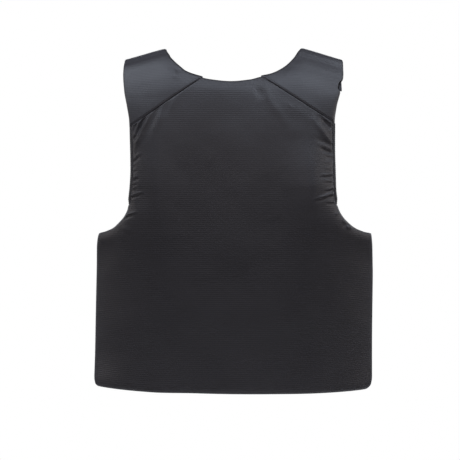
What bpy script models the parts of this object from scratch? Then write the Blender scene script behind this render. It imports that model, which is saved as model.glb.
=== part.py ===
"""A soft stab vest: two padded panels that hang from the shoulders and wrap the chest and back.

Every piece lies on one skin, the outer surface of the worn vest. A place on it is given by x, to the side,
and by q, the square root of the fall below the shoulder's roll: q is positive down the back, zero on the
roll and negative down the front. Sizes are in millimetres until a mesh is made.
"""
from collections import namedtuple

import bpy
import numpy as np

MM = 0.001

# The shoulder's roll, with height zero where the shoulder pieces rest on the wearer
Roll = namedtuple("Roll", "top slope")
ROLLS = {"left": Roll(16.8, 0.285), "right": Roll(18.0, 0.302)}
ROLL_BREAK_X = 110.0
ROLL_SOFTNESS = 6.0
ROLL_BLEND_WIDTH = 120.0

# The skin's sections, by fall below the roll: depth from the roll's line, and the ellipse's half breadth
Section = namedtuple("Section", "fall depth breadth")
BACK_SECTIONS = (
    Section(0.0, 0.0, 300.0),
    Section(0.5, 6.0, 300.0),
    Section(2.0, 12.2, 300.0),
    Section(5.0, 20.0, 300.0),
    Section(8.0, 27.5, 300.0),
    Section(11.0, 34.8, 300.0),
    Section(13.0, 38.2, 300.0),
    Section(15.0, 40.8, 300.0),
    Section(18.0, 43.9, 300.0),
    Section(21.0, 46.6, 300.0),
    Section(25.0, 49.7, 300.0),
    Section(35.0, 56.3, 300.0),
    Section(55.0, 68.0, 300.0),
    Section(76.0, 77.6, 300.0),
    Section(110.0, 87.5, 300.0),
    Section(150.0, 95.0, 292.0),
    Section(200.0, 101.0, 277.0),
    Section(260.0, 105.0, 260.0),
    Section(330.0, 107.5, 247.0),
    Section(420.0, 107.5, 247.0),
    Section(500.0, 102.5, 249.0),
    Section(600.0, 100.5, 251.0),
)
FRONT_SECTIONS = (
    Section(0.0, 0.0, 300.0),
    Section(3.2, 17.6, 300.0),
    Section(14.6, 38.0, 300.0),
    Section(30.0, 57.0, 298.0),
    Section(55.0, 78.0, 292.0),
    Section(110.0, 108.0, 280.0),
    Section(170.0, 128.0, 265.0),
    Section(240.0, 141.0, 248.0),
    Section(330.0, 147.0, 238.0),
    Section(470.0, 141.0, 236.0),
    Section(600.0, 136.0, 238.0),
)

# The back's outline: half width at each height, left and right, from the shoulder's end to the hem's corners
Edge = namedtuple("Edge", "height left right")
BACK_EDGES = (
    Edge(20.0, 181.5, 183.5),
    Edge(-26.0, 182.0, 182.8),
    Edge(-57.0, 179.2, 176.4),
    Edge(-83.0, 174.0, 169.4),
    Edge(-109.0, 169.8, 166.0),
    Edge(-135.0, 169.0, 166.0),
    Edge(-187.0, 167.9, 166.4),
    Edge(-213.0, 169.3, 166.9),
    Edge(-235.0, 171.9, 169.3),
    Edge(-248.0, 174.0, 173.0),
    Edge(-262.0, 180.2, 180.4),
    Edge(-275.0, 191.2, 192.2),
    Edge(-282.0, 199.0, 201.6),
    Edge(-289.0, 213.6, 217.2),
    Edge(-293.0, 224.8, 230.0),
    Edge(-303.0, 226.6, 230.6),
    Edge(-364.0, 229.5, 234.1),
    Edge(-425.0, 231.9, 234.4),
    Edge(-560.0, 236.0, 234.9),
)
FRONT_EDGES = (
    Edge(20.0, 176.0, 176.0),
    Edge(-60.0, 168.0, 168.0),
    Edge(-120.0, 152.0, 152.0),
    Edge(-200.0, 148.0, 148.0),
    Edge(-245.0, 158.0, 158.0),
    Edge(-278.0, 186.0, 186.0),
    Edge(-291.0, 211.0, 211.0),
    Edge(-330.0, 214.0, 214.0),
    Edge(-560.0, 216.0, 216.0),
)

# The neckline at the back, from the left shoulder's roll to the right one's
Place = namedtuple("Place", "x height")
NECKLINE = (
    Place(-113.6, 14.2),
    Place(-110.8, 9.5),
    Place(-106.9, 3.9),
    Place(-103.9, -1.7),
    Place(-99.2, -6.9),
    Place(-94.0, -12.1),
    Place(-87.2, -18.0),
    Place(-78.5, -25.0),
    Place(-62.5, -31.8),
    Place(-38.0, -38.2),
    Place(-5.0, -41.2),
    Place(26.7, -38.1),
    Place(45.0, -33.4),
    Place(59.3, -30.2),
    Place(84.1, -17.5),
    Place(101.1, -1.0),
    Place(110.0, 11.6),
    Place(113.5, 15.4),
)

# Each yoke: its seam's ends at the back, and its flap's corners on the front
Yoke = namedtuple("Yoke", "side tip_x tip_height arm_x arm_height flap_neck_x flap_arm_x flap_fall")
YOKES = {
    "left": Yoke(-1, -50.0, -35.4, -169.0, -117.6, -112.0, -166.0, 96.0),
    "right": Yoke(1, 45.0, -33.4, 165.6, -111.6, 108.0, 166.0, 96.0),
}
SEAM_GAP = 0.6

# The folds on the back: a line from the first point to the second, its half width, and its height outwards
Fold = namedtuple("Fold", "x0 height0 x1 height1 half_width rise")
FOLDS = (
    Fold(-133.0, -88.0, -157.0, -134.0, 7.0, -3.2),
    Fold(-142.0, -97.0, -160.0, -135.0, 6.0, 2.0),
    Fold(-116.0, -82.0, -131.0, -112.0, 8.0, -1.2),
    Fold(33.0, -47.0, 50.0, -80.0, 10.0, -1.8),
    Fold(46.0, -42.0, 70.0, -92.0, 10.0, 1.6),
    Fold(70.0, -92.0, 90.0, -118.0, 13.0, 1.0),
    Fold(135.0, -92.0, 158.0, -121.0, 7.0, -2.4),
    Fold(120.0, -87.0, 149.0, -129.0, 8.0, 1.8),
    Fold(128.0, -116.0, 153.0, -137.0, 8.0, -1.8),
    Fold(130.0, -231.0, 160.0, -223.0, 7.0, 1.6),
    Fold(-178.0, -266.0, -154.0, -253.0, 6.0, -2.0),
)

# How much less deep the back is at the right shoulder, by fall below the roll
Lean = namedtuple("Lean", "fall depth")
RIGHT_LEAN = (
    Lean(0.0, 0.0),
    Lean(2.0, -0.3),
    Lean(5.0, -2.7),
    Lean(8.0, -6.3),
    Lean(11.0, -10.4),
    Lean(13.0, -11.8),
    Lean(17.0, -12.8),
    Lean(30.0, -11.2),
    Lean(55.0, -7.7),
    Lean(76.0, -6.2),
    Lean(110.0, -3.9),
    Lean(150.0, -1.8),
    Lean(200.0, 0.2),
    Lean(260.0, 1.2),
    Lean(330.0, 1.0),
    Lean(420.0, 0.0),
    Lean(600.0, 0.0),
)
LEAN_HALF_WIDTH = 40.0

# How far the back stands out beyond the sections towards each side, by height
Swell = namedtuple("Swell", "height left right")
SWELLS = (
    Swell(-556.0, 8.0, 2.5),
    Swell(-480.0, 0.0, 0.0),
    Swell(-420.0, 1.0, 1.5),
    Swell(-330.0, 4.0, 6.0),
    Swell(-260.0, 5.5, 10.0),
    Swell(-215.0, 5.0, 10.0),
    Swell(-190.0, 4.0, 8.0),
    Swell(-160.0, 2.2, 4.0),
    Swell(-130.0, 0.8, 1.0),
    Swell(-100.0, 0.0, 0.0),
)
SWELL_FROM_X = 75.0
SWELL_WIDTH = 80.0

# How far the back's sides turn forwards at the armholes, by height
Curl = namedtuple("Curl", "height left right")
CURLS = (
    Curl(-300.0, 0.0, 0.0),
    Curl(-268.0, 1.5, 3.0),
    Curl(-228.0, 6.0, 11.0),
    Curl(-165.0, 6.0, 12.0),
    Curl(-120.0, 3.0, 5.0),
    Curl(-60.0, 0.0, 0.0),
    Curl(20.0, 0.0, 0.0),
)
CURL_WIDTH = 48.0
CURL_EASE = 1.6

# How the back's cloth turns forwards along the neck's edge
NECK_SHIFT = 1.2
NECK_SHIFT_WIDTH = 20.0
NECK_SHIFT_EASE = 1.6
NECK_SHIFT_Q = 5.0
NECK_PLACES = 90

# Thicknesses: a panel's padding, its sewn rim, and the single cloths
PANEL_THICKNESS = 10.0
PANEL_RIM = 3.5
PADDING_MARGIN = 28.0
EDGE_ROLL_DROP = 2.2
EDGE_ROLL_WIDTH = 11.0
YOKE_THICKNESS = 4.0
YOKE_ROLL_DROP = 1.0
YOKE_ROLL_WIDTH = 5.0
STRAP_THICKNESS = 3.0
LAYER_GAP = 0.8

# The hem: its height at the middle, the rise towards its corners, and the corners' radii
HEM_HEIGHT = -550.3
HEM_TILT = -0.012
HEM_RISE = 0.6
HEM_RISE_X = 200.0
CORNER_RADII = {"left": 11.0, "right": 16.0}
FRONT_HEM_HEIGHT = -528.0
FRONT_CORNER_RADIUS = 40.0
FRONT_NECK_HEIGHT = -92.0
FRONT_TOP_HEIGHT = -52.0
FRONT_NECK_HALF_WIDTH = 96.0
FRONT_TAB_SLOPE = 0.3
FRONT_INSET = YOKE_THICKNESS + STRAP_THICKNESS + 2 * LAYER_GAP

# The edging round the straight stretch of each armhole
EDGING_RADIUS = 1.8
EDGING_GAP = 0.4
EDGING_BOTTOM = -236.0
EDGING_INSET = 2 * EDGING_RADIUS + EDGING_GAP
EDGING_FADE = 10.0
EDGING_START = 1.4

# The bands under the yokes, and the notch in the right yoke's edge where the band shows
BAND_NECK_X = 122.0
BAND_ARM_X = 176.0
BAND_BACK_HEIGHT = -53.5
BAND_FRONT_FALL = 150.0
BAND_SHOWN_X = 178.0
BAND_SHOWN_FROM = 0.72
BAND_SHOWN_BY = 0.86
BAND_ARM_TAPER = 0.09
BAND_NECK_TAPER = 0.05
NOTCH_HEIGHT = -48.5
NOTCH_HALF_HEIGHT = 8.5
NOTCH_DEPTH = 4.0

# The side straps
SIDE_STRAP_WIDTH = 50.0
SIDE_STRAP_THICKNESS = 2.0
SIDE_STRAP_HEIGHTS = {"upper": -365.0, "lower": -470.0}
SIDE_STRAP_GAP = 0.8
SIDE_STRAP_BACK_X = np.array([176.0, 188.0, 200.0, 211.0])
SIDE_STRAP_TURN_X = 221.0
SIDE_STRAP_TURN_Y = (-6.0, 22.0)
SIDE_STRAP_FRONT_X = np.array([207.0, 195.0, 180.0, 165.0])

# The grids' rows and columns: heights, steps above the hem, and shares of the way to a shaped edge
BACK_COLUMNS = 33
BACK_CROWDING = 0.62
BACK_STEPS_ABOVE_HEM = (0.0, 3.0, 9.0, 22.0)
BACK_BODY_ROWS = np.linspace(-500.0, -310.0, 8)
BACK_ARMPIT_ROWS = (-300.0, -293.0, -289.0, -285.5, -282.0, -275.0, -268.0, -261.0, -253.0, -245.0)
BACK_CHEST_ROWS = np.linspace(-234.0, -134.0, 8)
BACK_SHARES_TO_TOP = (0.2, 0.4, 0.6, 0.78, 0.9, 0.97, 1.0)
FRONT_COLUMNS = 23
FRONT_CROWDING = 0.5
FRONT_SHARES_TO_TOP = (1.0, 0.9, 0.66, 0.33)
FRONT_CHEST_ROWS = np.linspace(-130.0, -235.0, 7)
FRONT_ARMPIT_ROWS = (-252.0, -266.0, -278.0, -285.0, -291.0, -300.0)
FRONT_BODY_ROWS = np.linspace(-330.0, -480.0, 6)
FRONT_SHARES_TO_HEM = (0.5, 0.15, 0.0)
YOKE_BACK_ROWS = 16
YOKE_FRONT_ROWS = 12
YOKE_COLUMNS = 9
YOKE_ROW_EASE = 1.25
NECK_EDGE_EASE = 1.4
BAND_BACK_ROWS = 11
BAND_FRONT_ROWS = 15
BAND_COLUMNS = 5
EDGING_ROWS = 13
SIDE_STRAP_ROWS = 19

# How finely directions are measured on the skin, and how often a place on a slanting edge is sought again
NORMAL_STEP_X = 1.0
NORMAL_STEP_Q = 0.02
ROUNDS = 20

Finish = namedtuple("Finish", "red green blue roughness")
CLOTH = Finish(0.020, 0.020, 0.024, 0.62)
YOKE_CLOTH = Finish(0.024, 0.024, 0.029, 0.60)
TAPE = Finish(0.012, 0.011, 0.013, 0.75)
ELASTIC = Finish(0.010, 0.010, 0.011, 0.80)


def smooth_curve(places, values, at):
    """A curve through the places that never swings past them: a cubic between each two, flat at a turn."""
    places = np.asarray(places, float)
    values = np.asarray(values, float)
    steps = np.diff(places)
    slopes = np.diff(values) / steps
    tangents = np.zeros_like(values)
    tangents[0] = slopes[0]
    tangents[-1] = slopes[-1]
    for i in range(1, len(places) - 1):
        if slopes[i - 1] * slopes[i] > 0:
            before = 2 * steps[i] + steps[i - 1]
            after = steps[i] + 2 * steps[i - 1]
            tangents[i] = (before + after) / (before / slopes[i - 1] + after / slopes[i])
    at = np.clip(np.asarray(at, float), places[0], places[-1])
    i = np.clip(np.searchsorted(places, at) - 1, 0, len(places) - 2)
    t = (at - places[i]) / steps[i]
    start = values[i] * (1 + 2 * t) * (1 - t) ** 2 + tangents[i] * steps[i] * t * (1 - t) ** 2
    end = values[i + 1] * t * t * (3 - 2 * t) + tangents[i + 1] * steps[i] * t * t * (t - 1)
    return start + end


def smooth_step(t):
    t = np.clip(t, 0.0, 1.0)
    return t * t * (3 - 2 * t)


def roll_height(x):
    """Height of the shoulder's roll: level over the neck, then falling outwards."""
    left, right = ROLLS["left"], ROLLS["right"]
    top = left.top + (right.top - left.top) * smooth_step(x / ROLL_BLEND_WIDTH + 0.5)
    outwards = ROLL_SOFTNESS * np.logaddexp(0.0, (np.abs(x) - ROLL_BREAK_X) / ROLL_SOFTNESS)
    return top - np.where(x < 0, left.slope, right.slope) * outwards


def q_at(x, height):
    """The back's q at a height."""
    return np.sqrt(np.maximum(roll_height(x) - height, 0.0))


def section_depth(sections, x, q):
    fall = q * q
    depth = smooth_curve([np.sqrt(s.fall) for s in sections], [s.depth for s in sections], np.abs(q))
    breadth = smooth_curve([s.fall for s in sections], [s.breadth for s in sections], fall)
    return depth * np.sqrt(np.maximum(1 - (x / breadth) ** 2, 0.0))


def lean(x, q):
    """How much deeper the back is at a fall on one side than on the other."""
    falls = [part.fall for part in RIGHT_LEAN]
    depth = smooth_curve(falls, [part.depth for part in RIGHT_LEAN], q * q)
    return depth * smooth_step((x / LEAN_HALF_WIDTH + 1) / 2)


def swell(x, height):
    """How far the back stands out beyond its sections."""
    heights = [w.height for w in SWELLS]
    left = smooth_curve(heights, [w.left for w in SWELLS], height)
    right = smooth_curve(heights, [w.right for w in SWELLS], height)
    return np.where(x < 0, left, right) * smooth_step((np.abs(x) - SWELL_FROM_X) / SWELL_WIDTH)


def curl(x, height):
    """How far the back's sides turn forwards near the armholes."""
    heights = [c.height for c in CURLS]
    left = smooth_curve(heights, [c.left for c in CURLS], height)
    right = smooth_curve(heights, [c.right for c in CURLS], height)
    edge = np.where(x < 0, half_width(BACK_EDGES, -1, height), half_width(BACK_EDGES, 1, height))
    near = np.clip(1 - (edge - np.abs(x)) / CURL_WIDTH, 0.0, 1.2)
    return np.where(x < 0, left, right) * near ** CURL_EASE


def neck_shift(x, q, height):
    """How far the back's cloth turns forwards near the neck's edge."""
    line_x = np.linspace(NECKLINE[0].x, NECKLINE[-1].x, NECK_PLACES)
    line = np.stack([line_x, np.zeros_like(line_x), neck_height(line_x)], axis=-1)
    gap = distance_to_line(np.stack([x, np.zeros_like(x), height], axis=-1), line)
    near = np.clip(1 - gap / NECK_SHIFT_WIDTH, 0.0, 1.0)
    return NECK_SHIFT * near ** NECK_SHIFT_EASE * smooth_step(q / NECK_SHIFT_Q)


def bare_skin(x, q):
    """Points of the skin itself, as an array with x, y and z last."""
    x, q = np.broadcast_arrays(x, q)
    height = roll_height(x) - q * q
    depth = section_depth(BACK_SECTIONS, x, q) + lean(x, q) + swell(x, height) - curl(x, height)
    back = neck_shift(x, q, height) - depth
    front = section_depth(FRONT_SECTIONS, x, q)
    return np.stack([x, np.where(q > 0, back, front), height], axis=-1)


def skin_normal(x, q):
    """The skin's outward direction."""
    across = bare_skin(x + NORMAL_STEP_X, q) - bare_skin(x - NORMAL_STEP_X, q)
    along = bare_skin(x, q - NORMAL_STEP_Q) - bare_skin(x, q + NORMAL_STEP_Q)
    normal = np.cross(across, along)
    return normal / np.linalg.norm(normal, axis=-1, keepdims=True)


def skin(x, q, inward=0.0):
    """Points that lie the stated distance inside the skin."""
    x, q, inward = np.broadcast_arrays(np.asarray(x, float), np.asarray(q, float), np.asarray(inward, float))
    return bare_skin(x, q) - skin_normal(x, q) * inward[..., None]


def half_width(edges, side, height):
    """The outline's half width at a height, on the left (-1) or the right (1)."""
    heights = [e.height for e in reversed(edges)]
    widths = [e.left if side < 0 else e.right for e in reversed(edges)]
    return smooth_curve(heights, widths, height)


def neck_height(x):
    return smooth_curve([p.x for p in NECKLINE], [p.height for p in NECKLINE], x)


def seam_height(yoke, x):
    """Height of a yoke's seam at the back, a straight line from its tip to the armhole."""
    share = (x - yoke.tip_x) / (yoke.arm_x - yoke.tip_x)
    return yoke.tip_height + (yoke.arm_height - yoke.tip_height) * share


def fold_relief(x, height):
    """How far the folds lift the skin at a place on the back."""
    relief = np.zeros_like(x)
    for fold in FOLDS:
        run = np.array([fold.x1 - fold.x0, fold.height1 - fold.height0])
        share = ((x - fold.x0) * run[0] + (height - fold.height0) * run[1]) / (run @ run)
        near = np.clip(share, 0.0, 1.0)
        gap_x = x - fold.x0 - near * run[0]
        gap_z = height - fold.height0 - near * run[1]
        relief += fold.rise * np.exp(-(gap_x ** 2 + gap_z ** 2) / fold.half_width ** 2)
    return relief


def distance_to_line(points, line):
    """Distance from each point to a line of points."""
    flat = points.reshape(-1, 3)
    runs = np.diff(line, axis=0)
    length = np.maximum((runs ** 2).sum(-1), 1e-9)
    nearest = np.empty(len(flat))
    for start in range(0, len(flat), 512):
        offset = flat[start:start + 512, None, :] - line[:-1]
        share = np.clip((offset * runs).sum(-1) / length, 0.0, 1.0)
        gap = offset - share[..., None] * runs
        nearest[start:start + 512] = np.sqrt((gap ** 2).sum(-1).min(-1))
    return nearest.reshape(points.shape[:-1])


def distance_to_rim(points):
    """Distance from each point of a grid to the grid's rim."""
    return distance_to_line(points, np.concatenate([points[0], points[1:, -1], points[-1, ::-1][1:],
                                                    points[::-1, 0][1:]]))


def rolled(distance, drop, width):
    """How far an edge has rolled inwards, this near to the rim."""
    t = np.clip(1 - distance / width, 0.0, 1.0)
    return drop * (1 - np.sqrt(1 - t * t))


def new_material(name, finish):
    material = bpy.data.materials.new(name)
    material.use_nodes = True
    shader = material.node_tree.nodes["Principled BSDF"]
    shader.inputs["Base Color"].default_value = (finish.red, finish.green, finish.blue, 1.0)
    shader.inputs["Roughness"].default_value = finish.roughness
    shader.inputs["Metallic"].default_value = 0.0
    return material


def sheet_object(name, points, thickness, finish, collection):
    """A grid of points whose faces look outwards, thickened inwards."""
    rows, columns = points.shape[:2]
    index = np.arange(rows * columns).reshape(rows, columns)
    corners = (index[:-1, :-1], index[:-1, 1:], index[1:, 1:], index[1:, :-1])
    faces = np.stack(corners, axis=-1).reshape(-1, 4)
    mesh = bpy.data.meshes.new(name)
    mesh.from_pydata((points.reshape(-1, 3) * MM).tolist(), [], faces.tolist())
    mesh.shade_smooth()
    mesh.materials.append(new_material(name, finish))
    sheet = bpy.data.objects.new(name, mesh)
    collection.objects.link(sheet)
    thickness = np.broadcast_to(thickness, (rows, columns)).reshape(-1)
    group = sheet.vertex_groups.new(name="padding")
    for vertex, amount in enumerate(thickness / thickness.max()):
        group.add([vertex], float(amount), "REPLACE")
    solidify = sheet.modifiers.new("padding", "SOLIDIFY")
    solidify.thickness = float(thickness.max()) * MM
    solidify.offset = -1.0
    solidify.vertex_group = group.name
    solidify.thickness_vertex_group = 0.0
    return sheet


def spread(columns, crowding):
    """Shares from -1 to 1 that lie closer together towards both ends."""
    even = np.linspace(-1.0, 1.0, columns)
    return crowding * np.sin(even * np.pi / 2) + (1 - crowding) * even


def hem_height(x, height, tilt, rise, edges, radii):
    """The hem at x, with its rounded corners: radii are the left and the right corner's."""
    hem = height + tilt * x + rise * (x / HEM_RISE_X) ** 2
    for side, radius in zip((-1, 1), radii):
        past = side * x - (half_width(edges, side, height) - radius)
        t = np.clip(past / radius, 0.0, 1.0)
        hem = hem + radius * (1 - np.sqrt(1 - t * t))
    return hem


def grid_x(edges, share, height, inset=0.0):
    """The x of each share of the outline's half width."""
    left = -(half_width(edges, -1, height) - inset)
    right = half_width(edges, 1, height) - inset
    return np.where(share < 0, -share * left, share * right)


def back_top(x):
    """The back panel's upper edge: the neckline in the middle, and the yokes' seams beside it."""
    left, right = YOKES["left"], YOKES["right"]
    top = neck_height(np.clip(x, left.tip_x, right.tip_x))
    top = np.where(x < left.tip_x, seam_height(left, x), top)
    return np.where(x > right.tip_x, seam_height(right, x), top) - SEAM_GAP / 2


def edging_inset(height):
    """Room left for the armhole's edging, which ends below."""
    return EDGING_INSET * smooth_step((height - EDGING_BOTTOM) / EDGING_FADE + 1.0)


def back_grid():
    """x and height of the back panel's grid, from the hem's row up to the yokes' and the neck's row."""
    share = spread(BACK_COLUMNS, BACK_CROWDING)
    hem_x = grid_x(BACK_EDGES, share, HEM_HEIGHT)
    radii = (CORNER_RADII["left"], CORNER_RADII["right"])
    hem = hem_height(hem_x, HEM_HEIGHT, HEM_TILT, HEM_RISE, BACK_EDGES, radii)
    lowest = BACK_BODY_ROWS[0]
    highest = BACK_CHEST_ROWS[-1]
    rows = []
    for step in BACK_STEPS_ABOVE_HEM:
        height = hem + step * (lowest - hem) / (lowest - HEM_HEIGHT)
        rows.append((grid_x(BACK_EDGES, share, height), height))
    for level in (*BACK_BODY_ROWS, *BACK_ARMPIT_ROWS, *BACK_CHEST_ROWS):
        height = np.full_like(share, level)
        rows.append((grid_x(BACK_EDGES, share, height, edging_inset(level)), height))
    for step in BACK_SHARES_TO_TOP:
        height = np.full_like(share, highest)
        for _ in range(ROUNDS):
            x = grid_x(BACK_EDGES, share, height, edging_inset(height))
            height = highest + (back_top(x) - highest) * step
        rows.append((x, height))
    return np.array([r[0] for r in rows]), np.array([r[1] for r in rows])


def padded_thickness(distance):
    """A panel's thickness at a distance from its rim."""
    return PANEL_RIM + (PANEL_THICKNESS - PANEL_RIM) * smooth_step(distance / PADDING_MARGIN)


def make_back(collection):
    x, height = back_grid()
    q = q_at(x, height)
    distance = distance_to_rim(skin(x, q))
    inward = rolled(distance, EDGE_ROLL_DROP, EDGE_ROLL_WIDTH) - fold_relief(x, height)
    sheet_object("back_panel", skin(x, q, inward), padded_thickness(distance), CLOTH, collection)


def front_top(x):
    """The front panel's upper edge: a scooped neck between two shoulder tabs."""
    scoop = np.clip(np.abs(x) / FRONT_NECK_HALF_WIDTH, 0.0, 1.0)
    neck = FRONT_NECK_HEIGHT + (FRONT_TOP_HEIGHT - FRONT_NECK_HEIGHT) * scoop ** 3
    tab = FRONT_TOP_HEIGHT - FRONT_TAB_SLOPE * (np.abs(x) - FRONT_NECK_HALF_WIDTH)
    return np.where(np.abs(x) > FRONT_NECK_HALF_WIDTH, tab, neck)


def front_grid():
    """x and height of the front panel's grid, from the neck's row down to the hem's."""
    share = spread(FRONT_COLUMNS, FRONT_CROWDING)
    highest = FRONT_CHEST_ROWS[0]
    lowest = FRONT_BODY_ROWS[-1]
    rows = []
    for step in FRONT_SHARES_TO_TOP:
        height = np.full_like(share, highest)
        for _ in range(ROUNDS):
            x = grid_x(FRONT_EDGES, share, height)
            height = highest + (front_top(x) - highest) * step
        rows.append((x, height))
    for level in (*FRONT_CHEST_ROWS, *FRONT_ARMPIT_ROWS, *FRONT_BODY_ROWS):
        height = np.full_like(share, level)
        rows.append((grid_x(FRONT_EDGES, share, height), height))
    hem_x = grid_x(FRONT_EDGES, share, FRONT_HEM_HEIGHT)
    radii = (FRONT_CORNER_RADIUS, FRONT_CORNER_RADIUS)
    hem = hem_height(hem_x, FRONT_HEM_HEIGHT, 0.0, 0.0, FRONT_EDGES, radii)
    for step in FRONT_SHARES_TO_HEM:
        height = hem + (lowest - hem) * step
        rows.append((grid_x(FRONT_EDGES, share, height), height))
    return np.array([r[0] for r in rows]), np.array([r[1] for r in rows])


def make_front(collection):
    x, height = front_grid()
    q = -q_at(x, height)
    distance = distance_to_rim(skin(x, q))
    inward = FRONT_INSET + rolled(distance, EDGE_ROLL_DROP, EDGE_ROLL_WIDTH)
    sheet_object("front_panel", skin(x, q, inward), padded_thickness(distance), CLOTH, collection)


def notch_inset(side, height):
    """The right yoke's edge draws in where the band under it shows."""
    if side < 0:
        return 0.0
    return NOTCH_DEPTH * np.exp(-((height - NOTCH_HEIGHT) / NOTCH_HALF_HEIGHT) ** 4)


def yoke_rim(yoke, along, across):
    """The four sides of a yoke's back part, in x and q: seam, roll, neck edge and arm edge."""
    roll_neck_x = NECKLINE[0].x if yoke.side < 0 else NECKLINE[-1].x
    neck_x = yoke.tip_x + (roll_neck_x - yoke.tip_x) * (1 - (1 - along) ** NECK_EDGE_EASE)
    neck_q = q_at(neck_x, neck_height(neck_x))
    neck_q[-1] = 0.0
    seam_x = yoke.tip_x + (yoke.arm_x - yoke.tip_x) * across
    seam_q = q_at(seam_x, seam_height(yoke, seam_x) + SEAM_GAP / 2)
    seam_q[0] = neck_q[0]
    arm_q = seam_q[-1] * (1 - along)
    arm_x = np.full_like(along, yoke.arm_x)
    for _ in range(ROUNDS):
        arm_height = roll_height(arm_x) - arm_q ** 2
        width = half_width(BACK_EDGES, yoke.side, arm_height) - notch_inset(yoke.side, arm_height)
        arm_x = yoke.side * width
    seam_x = yoke.tip_x + (arm_x[0] - yoke.tip_x) * across
    roll_x = neck_x[-1] + (arm_x[-1] - neck_x[-1]) * across
    return (seam_x, seam_q), (roll_x, np.zeros_like(across)), (neck_x, neck_q), (arm_x, arm_q)


def yoke_grid(yoke):
    """x and q over a yoke, from the seam's row over the roll to the flap's end, closest at the roll."""
    along = 1 - (1 - np.linspace(0.0, 1.0, YOKE_BACK_ROWS)) ** YOKE_ROW_EASE
    across = np.linspace(0.0, 1.0, YOKE_COLUMNS)
    seam, roll, neck, arm = yoke_rim(yoke, along, across)
    r = along[:, None]
    c = across[None, :]
    back = []
    for k in (0, 1):
        ruled = (1 - r) * seam[k] + r * roll[k] + (1 - c) * neck[k][:, None] + c * arm[k][:, None]
        seam_corners = (1 - c) * seam[k][0] + c * seam[k][-1]
        roll_corners = (1 - c) * roll[k][0] + c * roll[k][-1]
        back.append(ruled - (1 - r) * seam_corners - r * roll_corners)
    s = (np.linspace(0.0, 1.0, YOKE_FRONT_ROWS) ** YOKE_ROW_EASE)[1:, None]
    flap_x = yoke.flap_neck_x + (yoke.flap_arm_x - yoke.flap_neck_x) * c
    front_x = (1 - s) * roll[0] + s * flap_x
    front_q = -s * np.sqrt(yoke.flap_fall) * np.ones_like(c)
    return np.concatenate([back[0], front_x]), np.concatenate([back[1], front_q])


def mirrored_order(grids, side):
    """Grids whose columns run from the neck outwards are turned round on the left, to keep x rising."""
    return [g[:, ::-1] if side < 0 else g for g in grids]


def make_yoke(name, collection):
    yoke = YOKES[name]
    x, q = mirrored_order(yoke_grid(yoke), yoke.side)
    distance = distance_to_rim(skin(x, q))
    inward = rolled(distance, YOKE_ROLL_DROP, YOKE_ROLL_WIDTH)
    sheet_object(f"yoke_{name}", skin(x, q, inward), YOKE_THICKNESS - inward, YOKE_CLOTH, collection)


def make_strap(name, collection):
    """The band under a yoke: it starts on the front panel and ends behind the shoulder."""
    side = YOKES[name].side
    c = np.linspace(0.0, 1.0, BAND_COLUMNS)[None, :]
    back_q = float(q_at(BAND_ARM_X, BAND_BACK_HEIGHT))
    front_q = -float(np.sqrt(BAND_FRONT_FALL))
    back_rows = np.linspace(back_q, 0.0, BAND_BACK_ROWS)
    front_rows = np.linspace(0.0, front_q, BAND_FRONT_ROWS)
    q = np.concatenate([back_rows, front_rows[1:]])[:, None]
    shown = BAND_SHOWN_X if side > 0 else BAND_ARM_X
    shown_share = smooth_step((q / back_q - BAND_SHOWN_FROM) / (BAND_SHOWN_BY - BAND_SHOWN_FROM))
    arm_x = BAND_ARM_X + (shown - BAND_ARM_X) * shown_share
    front_fall = np.maximum(-q, 0.0) ** 2
    arm_x = arm_x - BAND_ARM_TAPER * front_fall
    neck_x = BAND_NECK_X - BAND_NECK_TAPER * front_fall
    x = side * (neck_x + (arm_x - neck_x) * c)
    x, q = mirrored_order((x, q * np.ones_like(c)), side)
    points = skin(x, q, YOKE_THICKNESS + LAYER_GAP)
    sheet_object(f"strap_{name}", points, STRAP_THICKNESS, TAPE, collection)


def make_edging(name, collection):
    """The edging of an armhole: a round roll of cloth along the panel's rim."""
    yoke = YOKES[name]
    side = yoke.side
    heights = np.linspace(yoke.arm_height - EDGING_START, EDGING_BOTTOM, EDGING_ROWS)
    x = side * (half_width(BACK_EDGES, side, heights) - EDGING_RADIUS)
    centre = skin(x, q_at(x, heights), EDGE_ROLL_DROP + PANEL_RIM / 2)
    curve = bpy.data.curves.new(f"arm_edging_{name}", "CURVE")
    curve.dimensions = "3D"
    curve.bevel_depth = EDGING_RADIUS * MM
    curve.bevel_resolution = 2
    curve.use_fill_caps = True
    spline = curve.splines.new("POLY")
    spline.points.add(len(centre) - 1)
    for point, place in zip(spline.points, centre * MM):
        point.co = (*place, 1.0)
    curve.materials.append(new_material(f"arm_edging_{name}", TAPE))
    collection.objects.link(bpy.data.objects.new(f"arm_edging_{name}", curve))


def strap_path(side, height):
    """A side strap's route, seen from above: inside the back panel, forwards, then over the front panel."""
    back_x = side * SIDE_STRAP_BACK_X
    front_x = side * SIDE_STRAP_FRONT_X
    rim_x = side * half_width(BACK_EDGES, side, height)
    bare = skin(back_x, q_at(back_x, height))
    from_rim = np.linalg.norm(bare - skin(rim_x, q_at(rim_x, height)), axis=-1)
    behind = padded_thickness(from_rim) + SIDE_STRAP_GAP
    back = skin(back_x, q_at(back_x, height), behind)[:, :2]
    middle = np.array([[side * SIDE_STRAP_TURN_X, y] for y in SIDE_STRAP_TURN_Y])
    before = FRONT_INSET - SIDE_STRAP_GAP - SIDE_STRAP_THICKNESS
    front = skin(front_x, -q_at(front_x, height), before)[:, :2]
    path = np.concatenate([back, middle, front])
    run = np.concatenate([[0.0], np.cumsum(np.linalg.norm(np.diff(path, axis=0), axis=1))])
    at = np.linspace(0.0, run[-1], SIDE_STRAP_ROWS)
    return np.stack([smooth_curve(run, path[:, 0], at), smooth_curve(run, path[:, 1], at)], axis=-1)


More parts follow.
